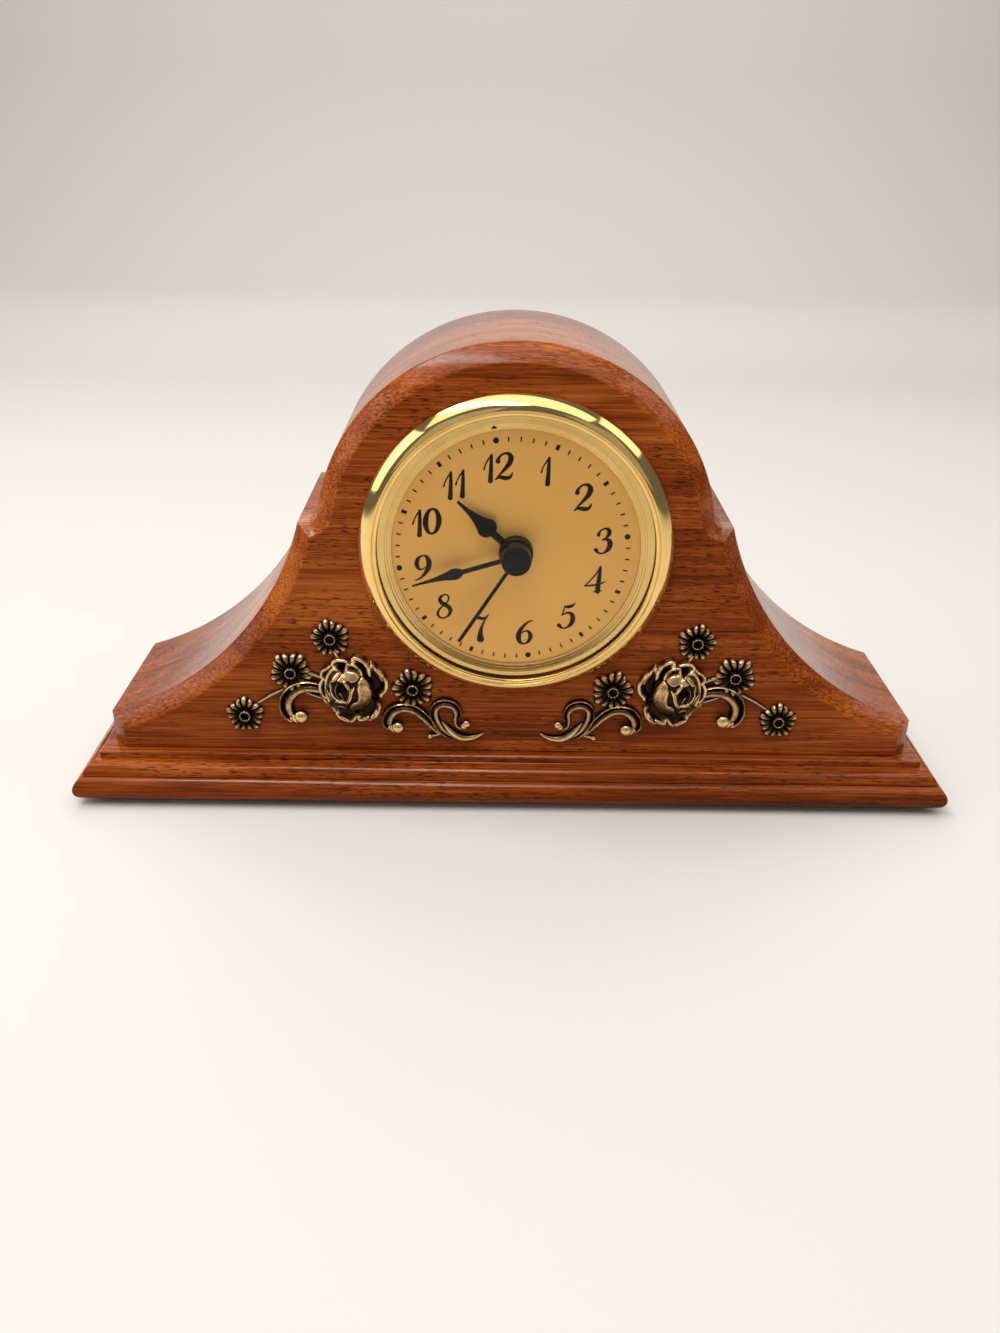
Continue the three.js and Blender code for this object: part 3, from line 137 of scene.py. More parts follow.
STEMS = (
    # points with half widths
    ((8.6, 6.9, 0.3), (11.6, 5.4, 0.95), (15.1, 5.1, 1.35), (18, 6.6, 1.35), (20, 8.9, 0.9),
     (21.5, 10.8, 0.3)),
    ((25.3, 5.5, 0.55), (23.6, 6, 0.6), (21.4, 6.6, 0.5)),
    ((77.2, 16.6, 0.4), (73.6, 19, 0.5), (70.6, 20.6, 0.5), (67.6, 22, 0.4)),
    ((58, 18.6, 0.4), (60.6, 19.6, 0.5), (63.2, 20.8, 0.3)),
    ((53.6, 35, 0.6), (52.4, 32.6, 0.7), (51.4, 30.6, 0.6)),
    ((61.8, 27.2, 0.6), (59.6, 26.4, 0.7), (57.4, 25.4, 0.6)),
)
KNOBS = (
    # middle and radius
    (64.2, 12.7, 2.2), (65.6, 12, 1.75), (66.7, 11.9, 1.35), (34.9, 9.2, 2), (36, 8.7, 1.6),
    (36.9, 8.9, 1.25), (14, 10.3, 1.25), (14.7, 9.4, 1.05), (25.2, 5.5, 0.8),
)


# Settings


def colour_setting(name, description, *shade):
    return FloatVectorProperty(name=name, description=description, subtype="COLOR", size=4,
                               default=(*shade, 1))


def number_setting(name, description, default, low, high, **more):
    return FloatProperty(name=name, description=description, default=default, min=low, max=high, **more)


def angle_setting(name, description, degrees):
    return FloatProperty(name=name, description=description, subtype="ANGLE", default=radians(degrees))


class WoodSettings(bpy.types.PropertyGroup):
    """Colours and surface of the case and plinth."""

    heart: colour_setting("Heart", "Darkest grain colour", 0.120, 0.0190, 0.0018)
    body: colour_setting("Body", "Main wood colour", 0.335, 0.0610, 0.0050)
    flame: colour_setting("Flame", "Lightest grain colour", 0.630, 0.1720, 0.0290)
    pore: colour_setting("Pore", "Colour in the open pores", 0.030, 0.0060, 0.0016)
    # in wood_finish this weight is raised on upward faces, as a painted sheen from above
    varnish: number_setting("Varnish", "Weight of the satin varnish", 0.38, 0, 1, subtype="FACTOR")


class MetalSettings(bpy.types.PropertyGroup):
    """Colours of the gold and brass pieces."""

    gold: colour_setting("Gold", "Polished bezel", 0.93, 0.65, 0.25)
    ring: colour_setting("Dial ring", "Stepped ring round the dial", 0.80, 0.53, 0.19)
    high_brass: colour_setting("High brass", "Rubbed high points of the sprays", 0.84, 0.58, 0.28)
    mid_brass: colour_setting("Mid brass", "Slopes of the sprays", 0.205, 0.110, 0.040)
    low_brass: colour_setting("Low brass", "Antiqued hollows of the sprays", 0.018, 0.010, 0.005)


class DialSettings(bpy.types.PropertyGroup):
    """Colours and sizes of the dial."""

    field: colour_setting("Field", "Satin gold of the dial", 0.99, 0.565, 0.160)
    ink: colour_setting("Ink", "Printed numbers and track", 0.016, 0.006, 0.003)
    number_radius: number_setting("Number radius", "Middle of the numbers, in mm", 25.5, 20, 30)
    number_height: number_setting("Number height", "Height of the hours 1 to 9, in mm", 7.5, 5, 12)
    pair_height: number_setting("Pair height", "Height of the hours 10 to 12, in mm", 7.4, 5, 12)
    track_radius: number_setting("Track radius", "Middle of the minute track, in mm", 32.7, 28, 35)


class StageSettings(bpy.types.PropertyGroup):
    """Floor, lights and camera."""

    floor: colour_setting("Floor", "Floor and backdrop", 0.82, 0.79, 0.75)
    bounce: colour_setting("Bounce", "Light that the floor throws back", 0.42, 0.32, 0.24)
    sky: number_setting("Sky", "Strength of the even light", 0.16, 0, 2)
    lens: number_setting("Lens", "Focal length on a 36 mm high sensor", 30.09, 10, 100, unit="CAMERA")
    pitch: angle_setting("Pitch", "How far the camera looks down", 26.879)
    yaw: angle_setting("Yaw", "How far the camera looks to the left", -0.470)
    roll: angle_setting("Roll", "How far the picture leans", 0.946)


# Shader maths


class Value:
    """A shader value; Python sums on it add Math nodes."""

    def __init__(self, finish, socket):
        self.finish = finish
        self.socket = socket

    def _sum(self, operation, first, second):
        return self.finish.node("ShaderNodeMath", {"operation": operation}, {0: first, 1: second})

    def __add__(self, other):
        return self._sum("ADD", self, other)

    def __sub__(self, other):
        return self._sum("SUBTRACT", self, other)

    def __rsub__(self, other):
        return self._sum("SUBTRACT", other, self)

    def __mul__(self, other):
        return self._sum("MULTIPLY", self, other)

    def __pow__(self, other):
        return self._sum("POWER", self, other)

    __radd__ = __add__
    __rmul__ = __mul__

    def between(self, low, high):
        """0 below low, 1 above high, and smooth between."""
        return self.finish.node("ShaderNodeMapRange", {"interpolation_type": "SMOOTHSTEP"},
                                {"Value": self, "From Min": low, "From Max": high})


class Finish:
    """One node-based material, or the world."""

    def __init__(self, name, library="materials"):
        self.owner = getattr(bpy.data, library).new(name)
        self.owner.use_nodes = True
        self.tree = self.owner.node_tree
        self.tree.nodes.clear()
        if library == "materials":
            # where a point is on its piece, in metres
            self.place = self.node("ShaderNodeTexCoord", output="Object")

    def node(self, kind, settings=(), sockets=(), output=0):
        """Adds one node: its settings first, then the values or links of its sockets."""
        made = self.tree.nodes.new(kind)
        for key, value in dict(settings).items():
            if key == "stops":
                ramp = made.color_ramp
                while len(ramp.elements) > 1:
                    ramp.elements.remove(ramp.elements[-1])
                ramp.elements[0].position, ramp.elements[0].color = value[0]
                for place, colour in value[1:]:
                    ramp.elements.new(place).color = colour
            else:
                setattr(made, key, value)
        for key, value in dict(sockets).items():
            if isinstance(value, Value):
                self.tree.links.new(value.socket, made.inputs[key])
            else:
                made.inputs[key].default_value = value
        return Value(self, made.outputs[output]) if made.outputs else None

    def vector(self, operation, first, second):
        return self.node("ShaderNodeVectorMath", {"operation": operation}, {0: first, 1: second})

    def noise(self, scale, detail=2.0, roughness=0.5, distortion=0.0):
        """Noise of one scale, or of three for the three directions."""
        place = self.place
        if isinstance(scale, tuple):
            place, scale = self.vector("MULTIPLY", place, scale), 1.0
        return self.node("ShaderNodeTexNoise", {}, {
            "Vector": place, "Scale": scale, "Detail": detail,
            "Roughness": roughness, "Distortion": distortion,
        }, "Fac")

    def ramp(self, value, *stops):
        return self.node("ShaderNodeValToRGB", {"stops": stops}, {"Fac": value}, "Color")

    def blend(self, first, second, mask):
        return self.node("ShaderNodeMix", {"data_type": "RGBA"}, {0: mask, 6: first, 7: second}, 2)

    def bump(self, height, strength, distance):
        return self.node("ShaderNodeBump", {}, {
            "Height": height, "Strength": strength, "Distance": distance}, "Normal")

    def surface(self, **sockets):
        """The main shader; socket names with underscores for spaces."""
        named = {key.replace("_", " "): value for key, value in sockets.items()}
        return self.done(self.node("ShaderNodeBsdfPrincipled", {}, named))

    def done(self, shader, output="ShaderNodeOutputMaterial"):
        self.node(output, {}, {"Surface": shader})
        return self.owner


def shaded(colour, *shares):
    """A colour with each part, or all of it, brought down or up."""
    return tuple(min(1, c * s) for c, s in zip(colour, shares * (3 // len(shares)))) + (1,)


# Finishes


def wood_finish(name, look, shift):
    """Varnished reddish hardwood, its grain along X, with short dark pores."""
    f = Finish(name)
    f.place = f.vector("ADD", f.place, shift)
    figure = f.noise((7, 95, 80), 3.0, 0.55, 0.6)
    stripe = f.noise((2.2, 30, 24), 1.0)
    fibre = f.noise((45, 1700, 1700), 2.0, 0.6)
    pores = f.noise((300, 2300, 2100), 1.5, 0.4)
    crowd = f.noise((12, 120, 100), 1.0)
    pore = pores.between(0.56, 0.66) * crowd.between(0.30, 0.58)
    tone = figure * 0.64 + stripe * 0.34 + fibre * 0.60 - 0.29
    colour = f.ramp(tone, (0.32, look.heart[:]), (0.50, look.body[:]), (0.72, look.flame[:]))
    # painted sheen: the coat below is made much heavier on upward faces, so tops, chamfers and mouldings
    # shine brighter as if lit from above
    facing = f.node("ShaderNodeNewGeometry", output="Normal")
    top_sheen_mask = f.node("ShaderNodeSeparateXYZ", {}, {0: facing}, "Z").between(0.0, 1.0)
    return f.surface(Base_Color=f.blend(colour, look.pore[:], pore * 0.82),
                     Roughness=0.25 + fibre * 0.12 + pore * 0.22,
                     Normal=f.bump(fibre * 0.25 - pore, 0.18, 0.00012),
                     IOR=1.45, Specular_IOR_Level=0.10, Specular_Tint=(1.0, 0.66, 0.46, 1),
                     Coat_Weight=look.varnish * (0.35 + 2.15 * top_sheen_mask * top_sheen_mask),
                     Coat_Roughness=0.16, Coat_IOR=1.45)


def antique_brass_finish(name, look):
    """Stamped brass, dark in its hollows and rubbed bright on its high points; on the rose's bud the map
    also holds painted shade, darker towards the bottom.
    """
    f = Finish(name)
    wear = f.node("ShaderNodeAttribute", {"attribute_name": "wear"}, output="Fac")
    grime = f.noise(900, 3.0, 0.6)
    # the map read here is wear, and on the rose's bud also painted shade
    rubbed = (wear + (grime - 0.5) * 0.35).between(0.18, 0.80)
    colour = f.ramp(rubbed, (0.0, look.low_brass[:]), (0.50, look.mid_brass[:]), (1.0, look.high_brass[:]))
    return f.surface(Base_Color=colour, Roughness=0.30 - rubbed * 0.15 + grime * 0.05,
                     Metallic=0.97 - rubbed * 0.14, Normal=f.bump(f.noise(2600), 0.12, 0.00006))


def polished_gold_finish(name, colour, rough):
    """Bright gold plate with a trace of handling marks."""
    f = Finish(name)
    smudge = f.noise(70, 3.0, 0.6)
    fine = f.noise(2400)
    tint = f.blend(colour, shaded(colour, 0.93, 0.88, 0.78), smudge.between(0.4, 0.7))
    return f.surface(Base_Color=tint, Metallic=1.0, Roughness=rough + smudge * 0.05 + fine * 0.02)


def dial_finish(name, look):
    """Satin gold with a very fine upright brushing."""
    f = Finish(name)
    brush = f.noise((5200, 5200, 160))
    cloud = f.noise(28)
    colour = f.blend(look.field[:], shaded(look.field, 0.93, 0.90, 0.80),
                     cloud.between(0.35, 0.7) * 0.6 + brush * 0.25)
    return f.surface(Base_Color=colour, Metallic=0.75, Roughness=0.56 + brush * 0.08,
                     Normal=f.bump(brush, 0.05, 0.00004))


def clear_finish(name):
    """Clear lens: see-through, with reflections that grow at a grazing angle."""
    f = Finish(name)
    facing = f.node("ShaderNodeLayerWeight", {}, {"Blend": 0.5}, "Facing")
    smear = f.noise(45)
    edge = 0.006 + facing ** 5 * 0.6 + smear.between(0.5, 0.9) * 0.003
    clear = f.node("ShaderNodeBsdfTransparent", {}, {"Color": (0.985, 0.99, 0.985, 1)})
    gloss = f.node("ShaderNodeBsdfGlossy", {}, {"Color": (1, 1, 1, 1), "Roughness": 0.015})
    return f.done(f.node("ShaderNodeMixShader", {}, {0: edge, 1: clear, 2: gloss}))


def plain_finish(name, colour, rough, metal=0.0, scale=600, mottle=0.12, shine=0.5):
    """Moulded, painted or plain metal surface with fine texture and slight unevenness."""
    f = Finish(name)
    grain = f.noise(scale, 3.0, 0.6)
    cloud = f.noise(scale / 12)
    tint = f.blend(shaded(colour, 1 - mottle), shaded(colour, 1 + mottle), cloud.between(0.3, 0.7))
    return f.surface(Base_Color=tint, Roughness=rough - 0.05 + grain * 0.1, Metallic=metal,
                     Normal=f.bump(grain, 0.15, 0.00005), Specular_IOR_Level=shine)


def floor_finish(name, pale, bounce):
    """Pale floor as the camera, metal and glass see it; the light that it throws back is warmer."""
    f = Finish(name)
    seen, shiny, through = (f.node("ShaderNodeLightPath", output=f"Is {way} Ray")
                            for way in ("Camera", "Glossy", "Transmission"))
    cloud = f.noise(3.5)
    colour = f.blend(bounce, f.blend(pale, shaded(pale, 0.985), cloud),
                     (seen + shiny + through).between(0.0, 1.0))
    return f.surface(Base_Color=colour, Roughness=0.7 + cloud * 0.05)


# Meshes


class Form:
    """Points and faces of one piece, gathered from several shells, with a value per point for wear, which
    on the rose's bud also holds painted shade.
    """

    def __init__(self):
        self.points = []
        self.faces = []
        self.wear = []

    def add(self, points, faces, wear=None):
        start = len(self.points)
        points = [tuple(float(c) for c in p) for p in points]
        self.points += points
        self.faces += [[start + i for i in face] for face in faces]
        self.wear += list(wear) if wear is not None else [0.5] * len(points)
        return self

    def turned(self, angle):
        """The same form turned anticlockwise about z."""
        c, s = cos(angle), sin(angle)
        self.points = [(c * x - s * y, s * x + c * y, z) for x, y, z in self.points]
        return self

    def moved(self, right, up):
        self.points = [(x + right, y + up, z) for x, y, z in self.points]
        return self

    def mirrored(self):
        other = Form()
        other.points = [(-x, y, z) for x, y, z in self.points]
        other.faces = [face[::-1] for face in self.faces]
        other.wear = list(self.wear)
        return other


def new_object(name, data):
    made = bpy.data.objects.new(name, data)
    bpy.context.scene.collection.objects.link(made)
    return made


def piece(name, form, up, body, finish, replaced=(), sharp=32.0):
    """Makes a piece from a form drawn in mm from the front, at a height, riding on a body."""
    mesh = bpy.data.meshes.new(name)
    place = [(x * MM, (FACE - z) * MM, (up + y) * MM) for x, y, z in form.points]
    mesh.from_pydata(place, [], form.faces)
    build = bmesh.new()
    build.from_mesh(mesh)
    bmesh.ops.recalc_face_normals(build, faces=build.faces)
    build.to_mesh(mesh)
    build.free()
    # per-point wear, with painted shade on the rose's bud
    mesh.attributes.new("wear", "FLOAT", "POINT").data.foreach_set("value", form.wear)
    mesh.shade_smooth()
    mesh.set_sharp_from_angle(angle=radians(sharp))
    mesh.materials.append(finish)
    made = new_object(name, mesh)
    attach(made, body)
    if replaced:
        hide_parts(*replaced)
    return made


def soften(made, width):
    """Rounds a piece's edges by a width in mm."""
    bevel = made.modifiers.new("edges", "BEVEL")
    bevel.width = width * MM
    bevel.segments = 2
    bevel.limit_method = "ANGLE"
    bevel.angle_limit = radians(40)
    bevel.harden_normals = True


def dress(finish, *nodes):
    """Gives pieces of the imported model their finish."""
    for node in nodes:
        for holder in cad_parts[node].material_slots:
            holder.material = finish


def level(outline, z):
    return [(x, y, z) for x, y in outline]


def grid(rows, count):
    """Faces between rows of equally many points, each row closed on itself."""
    return [(k * count + i, k * count + j, (k + 1) * count + j, (k + 1) * count + i)
            for k in range(rows - 1) for i, j in zip(range(count), [*range(1, count), 0])]


def loft(rings):
    """Open skin over rings of equally many points."""
    return [p for ring in rings for p in ring], grid(len(rings), len(rings[0]))


def prism(outline, back, front):
    """Flat plate from an outline."""
    points, sides = loft([level(outline, back), level(outline, front)])
    ends = range(len(outline)), range(len(outline), len(points))
    return points, [*sides, ends[0][::-1], ends[1]]


def lathe(profile, sides):
    """Closed shell turned about z from (radius, height) points; a radius of 0 is on the axis."""
    points, faces, rows = [], [], []
    spin = [2 * pi * i / sides for i in range(sides)]
    for radius, height in profile:
        if radius < 1e-6:
            rows.append([len(points)])
            points.append((0, 0, height))
        else:
            rows.append(range(len(points), len(points) + sides))
            points += [(radius * cos(a), radius * sin(a), height) for a in spin]
    for low, high in zip(rows, [*rows[1:], rows[0]]):
        for i in range(sides):
            j = (i + 1) % sides
            ring = (low[i % len(low)], low[j % len(low)], high[j % len(high)], high[i % len(high)])
            face = list(dict.fromkeys(ring))
            if len(face) > 2:
                faces.append(face)
    return points, faces


def turned_form(profile, sides):
    return Form().add(*lathe(profile, sides))


def flat_cap(outer, holes):
    """Triangles over an outline with holes; the points are those of the outline, then of each hole."""
    loops = [outer, *holes]
    faces = tessellate_polygon([[Vector(p) for p in loop] for loop in loops])
    return [p for loop in loops for p in loop], faces


def arc(centre, radius, start, end, steps):
    return [(centre[0] + radius * cos(a), centre[1] + radius * sin(a))
            for a in np.linspace(start, end, steps + 1)]


def circle(centre, radius, sides):
    return arc(centre, radius, 0, 2 * pi * (1 - 1 / sides), sides - 1)


def bend(start, pull, end, count):
    """Curve from start to end, drawn towards a third point."""
    t = np.linspace(0, 1, count)[:, None]
    start, pull, end = map(np.array, (start, pull, end))
    return [tuple(p) for p in start * (1 - t) ** 2 + 2 * pull * t * (1 - t) + end * t ** 2]


def flowing(points, count):
    """Even points on a smooth curve through given points; extra columns such as widths flow along."""
    rows = np.asarray(points, float)
    rows = np.vstack([2 * rows[0] - rows[1], rows, 2 * rows[-1] - rows[-2]])
    t = np.linspace(0, 1, 24, endpoint=False)[:, None]
    curve = []
    for k in range(1, len(rows) - 2):
        a, b, c, d = rows[k - 1:k + 3]
        curve.append(0.5 * (2 * b + (c - a) * t + (2 * a - 5 * b + 4 * c - d) * t ** 2
                            + (3 * b - a - 3 * c + d) * t ** 3))
    curve = np.vstack([*curve, rows[-2:-1]])
    step = np.r_[0, np.cumsum(np.linalg.norm(np.diff(curve[:, :2], axis=0), axis=1))]
    even = np.linspace(0, step[-1], count)
    return np.stack([np.interp(even, step, column) for column in curve.T], 1)


def sideways(line):
    """How far the left edge is from a line of points with half widths."""
    run = np.gradient(line[:, :2], axis=0)
    run /= np.linalg.norm(run, axis=1)[:, None]
    return np.stack([-run[:, 1], run[:, 0]], 1) * line[:, 2:3]


# Case and plinth


def heading(point, centre):
    """Angle from a centre to a point, from 0 to a full turn."""
    return atan2(point[1] - centre[1], point[0] - centre[0]) % (2 * pi)


def case_half(dome, cove, ledge, sweep, end):
    """Right half of an outline of the case, from the top of the dome to the foot's lower corner."""
    middle = np.array([0, DIAL_HEIGHT])
    hollow = np.array([0, ledge + cove])
    hollow[0] = sqrt((dome + cove) ** 2 - (hollow[1] - middle[1]) ** 2)
    foot = np.array([HALF_WIDTH, FOOT_END])
    span = foot - SHOULDER
    outward = np.array([-span[1], span[0]]) / np.linalg.norm(span)
    centre = (foot + SHOULDER) / 2 + outward * sqrt(SWEEP_RADIUS ** 2 - span @ span / 4)
    corner = np.array([centre[0] - sqrt(sweep ** 2 - (centre[1] - ledge) ** 2), ledge])
    flank = atan2(hollow[1] - middle[1], hollow[0])
    if corner[0] > hollow[0]:
        turn = [*arc(hollow, cove, flank + pi, 1.5 * pi, COVE_STEPS - 1), tuple(corner)]
    else:
        # the cove runs straight into the sweep, where the two rounds cross
        line = centre - hollow
        gap = np.linalg.norm(line)
        along = (gap ** 2 + cove ** 2 - sweep ** 2) / (2 * gap)
        across = sqrt(cove ** 2 - along ** 2)
        unit = line / gap
        pair = [hollow + unit * along + s * across * np.array([unit[1], -unit[0]]) for s in (1, -1)]
        corner = min(pair, key=lambda p: p[1])
        turn = arc(hollow, cove, flank + pi, heading(corner, hollow), COVE_STEPS)
    tip = (end, centre[1] - sqrt(sweep ** 2 - (centre[0] - end) ** 2))
    run = arc(centre, sweep, heading(corner, centre), heading(tip, centre), SWEEP_STEPS)
    return [*arc(middle, dome, pi / 2, flank, DOME_STEPS), *turn[1:], *run[1:], (end, 0)]


def case_outline(*edge):
    right = case_half(*edge)
    return np.array(right[::-1] + [(-x, y) for x, y in right[1:]])


def drawn_in(outline, distance):
    """The outline moved inwards."""
    normals = []
    for a, b in zip(outline - np.roll(outline, 1, 0), np.roll(outline, -1, 0) - outline):
        a, b = a / np.linalg.norm(a), b / np.linalg.norm(b)
        n = np.array([-a[1] - b[1], a[0] + b[0]])
        normals.append(n / max(0.6, n @ n / 2))
    return outline + distance * np.array(normals)


def case_form():
    side = case_outline(DOME_RADIUS, COVE_RADIUS, SHOULDER[1], SWEEP_RADIUS, HALF_WIDTH)
    face = case_outline(DOME_RADIUS - CHAMFER_WIDTH, CHAMFER_COVE, SHOULDER[1] - SHOULDER_CHAMFER,
                        SWEEP_RADIUS + CHAMFER_WIDTH, HALF_WIDTH - CHAMFER_WIDTH)
    share = ARRIS / CHAMFER_DEPTH
    bore, wide = (circle((0, DIAL_HEIGHT), BORE_RADIUS + more, BORE_SIDES) for more in (0, ARRIS))
    skin = [level(*row) for row in (
        (drawn_in(side, ARRIS), -CASE_DEPTH),
        (side, -CASE_DEPTH + ARRIS),
        (side, -CHAMFER_DEPTH - ARRIS),
        (side + (face - side) * share, -CHAMFER_DEPTH + ARRIS),
        (face + (side - face) * share, -ARRIS * 0.9),
        (drawn_in(face, ARRIS * 0.8), 0),
    )]
    walls = [level(*row) for row in (
        (wide, -CASE_DEPTH), (bore, -CASE_DEPTH + ARRIS), (bore, -ARRIS), (wide, 0))]
    form = Form().add(*loft(skin))
    for end in (0, -1):
        form.add(*flat_cap(skin[end], [walls[end]]))
    return form.add(*loft(walls))


def plinth_edge():
    nose = arc(BULLNOSE[:2], BULLNOSE[2], -pi / 2, BULLNOSE_END, 14)
    ovolo = arc(OVOLO[:2], OVOLO[2], 0, pi / 2, 9)
    quirk, floor, top = ovolo[0][0] - QUIRK_DEPTH, nose[-1][1], ovolo[-1][1]
    return [*nose, (quirk + STEP_EASE, floor), (quirk, floor + QUIRK_EASE), *ovolo,
            (FILLET + STEP_EASE, top), (FILLET, top + STEP_EASE),
            (FILLET, PLINTH_HEIGHT - TOP_EASE), (FILLET - TOP_EASE, PLINTH_HEIGHT)]


def plinth_form():
    middle = -CASE_DEPTH / 2
    rings = []
    for over, height in plinth_edge():
        w, d = HALF_WIDTH + over, CASE_DEPTH / 2 + over
        rings.append([(x, height, middle + z) for x, z in ((w, -d), (w, d), (-w, d), (-w, -d))])
    form = Form().add(*loft(rings)).add(rings[-1], [(0, 1, 2, 3)])
    wells = [[[(x, y, z) for x, z in circle((place, middle), WELL_RADIUS, 40)] for y in (0, WELL_DEPTH)]
             for place in SCREW_PLACES]
    form.add(*flat_cap(rings[0], [mouth for mouth, _ in wells]))
    for mouth, bottom in wells:
        form.add(*loft([mouth, bottom])).add(bottom, [range(len(bottom))])
    return form


# Sprays

DAISY_PETALS, DAISY_GROUPS = 15, 5
CUP_RADIUS = 2.0
OUTER_PETALS = (
    # height of the rim, half width of its roll, depth of the cup, brightness, outline; the top one last
    (1.7, 0.4, 0.8, 0.55, ((10.1, -1.6), (10.2, -2.4), (9.6, -3.6), (8.8, -4.7), (7.7, -5.8), (6.7, -7),
     (6, -8), (4.5, -7), (5.7, -4), (7.1, -1), (8.7, -0.6))),
    (2.2, 0.45, 1.1, 0.8, ((8.5, 4.6), (9.3, 4), (10, 2.9), (10.5, 1.4), (10.5, 0.2), (10.1, -1.2),
     (9.4, -2.4), (8.3, -2.8), (7.5, -1), (7.5, 1.5), (7.7, 3.6))),
    (2.5, 0.45, 1.2, 0.88, ((5.7, 8.9), (6.7, 8.6), (7.7, 7.8), (8.9, 7.1), (9.6, 6.3), (9.9, 5.2),
     (9.8, 4.2), (8.5, 3.4), (7.1, 4.2), (5.9, 6.4), (5.3, 7.8))),
    (2.6, 0.48, 1.4, 0.95, ((6.4, 9.1), (5.7, 10.2), (4.3, 10.7), (2.5, 10.6), (1.1, 10.1), (0.2, 9.2),
     (0.7, 7), (2.7, 6.2), (4.7, 7), (6.1, 8))),
    (2.5, 0.55, 1.6, 0.78, ((-5.5, 10), (-6.5, 8.8), (-7.9, 7.5), (-9.1, 6.2), (-9.9, 4.6), (-10.6, 3.2),
     (-10.7, 1.6), (-10.3, 0), (-9.3, -1.2), (-8.1, -2.2), (-6.7, -2.6), (-5.1, -1.6), (-4.3, 1.6),
     (-4.5, 5.6))),
    (2, 0.7, 1.2, 0.85, ((5.9, -8), (5.6, -9.2), (4.5, -10.3), (3.1, -11), (1.3, -11.6), (0.1, -11),
     (-0.9, -9.8), (-1.5, -8.8), (-0.5, -7), (1.7, -6.4), (4.1, -6.6))),
    (2.2, 0.6, 1.4, 0.74, ((-6.3, -3.2), (-7.5, -3.9), (-8.4, -5.2), (-8.1, -6.8), (-7.7, -8.2),
     (-6.7, -9.6), (-5.3, -10.5), (-3.9, -10.6), (-2.5, -10.6), (-1.1, -10.5), (-0.7, -9), (-1.5, -6.6),
     (-3.9, -4))),
    (3.1, 0.6, 1.6, 0.88, ((0.3, 10.8), (-0.7, 11.7), (-1.9, 11.5), (-3.3, 10.8), (-4.5, 9.7), (-5.4, 8.2),
     (-5.7, 6.6), (-5.5, 5), (-4.9, 3.9), (-3.3, 3.2), (-1.5, 5), (-0.1, 8))),
    (3.6, 0.36, 1.8, 0.74, ((1.7, 9.6), (0.3, 9.7), (-0.9, 9.5), (-1.9, 8.8), (-2.7, 7.8), (-3.2, 6.6),
     (-3.2, 5.4), (-2.7, 4.2), (-1.3, 3.2), (1.1, 4), (2.1, 6.6))),
    (3.4, 0.34, 1.2, 0.66, ((2.1, 6.2), (3.3, 7.2), (4.5, 7.9), (5.7, 8), (6.7, 7.2), (7.7, 5.6),
     (8.3, 3.4), (8.5, 1), (8.3, -1.2), (7.5, -3.4), (6.3, -4.4), (5.5, -1), (4.5, 3), (3.1, 5))),
)
BUD_PETALS = (
    # lift over the bud, brightness, outline
    (0, 0.24, ((6.45, -3.55), (5.85, -5.15), (4.85, -5.95), (3.65, -6.35), (2.05, -6.35), (1.25, -5.15),
     (1.85, -3.75), (3.45, -3.35), (5.25, -3.05))),
    (0.1, 0.22, ((7.25, 3.65), (6.05, 5.25), (4.45, 6.65), (3.45, 6.65), (2.05, 5.65), (1.05, 3.45),
     (0.05, 1.45), (0.65, -1.15), (1.85, -3.15), (3.85, -3.35), (6.05, -2.95), (7.25, 0.05))),
    (0.45, 0.95, ((6.5, 3.7), (6, 5.3), (4.8, 6.7), (3.3, 7.3), (3.3, 6.2), (4.2, 4.9), (5.4, 3.6))),
    (0.35, 0.92, ((4.6, 4.2), (3.8, 5.4), (2.9, 6.3), (2, 5.8), (1.5, 4.4), (2.7, 3.8))),
    (0.4, 0.84, ((2.3, 7), (0.9, 7.4), (-0.7, 7.2), (-1.9, 6.4), (-2.3, 5.4), (-1.5, 4.3), (-0.2, 3.8),
     (0.9, 4.2), (1.9, 5.2), (2.3, 6.1))),
    (0.6, 0.6, ((-3.05, 5.45), (-3.75, 4.65), (-4.55, 3.45), (-5.35, 1.85), (-5.85, 0.25), (-5.75, -1.75),
     (-5.15, -3.35), (-4.15, -4.75), (-2.75, -5.95), (-1.15, -6.65), (0.45, -6.85), (1.05, -6.35),
     (1.15, -5.15), (0.65, -3.75), (-0.35, -2.75), (-1.35, -2.45), (-1.75, -0.65), (-1.55, 1.85),
     (-1.95, 4.05))),
)
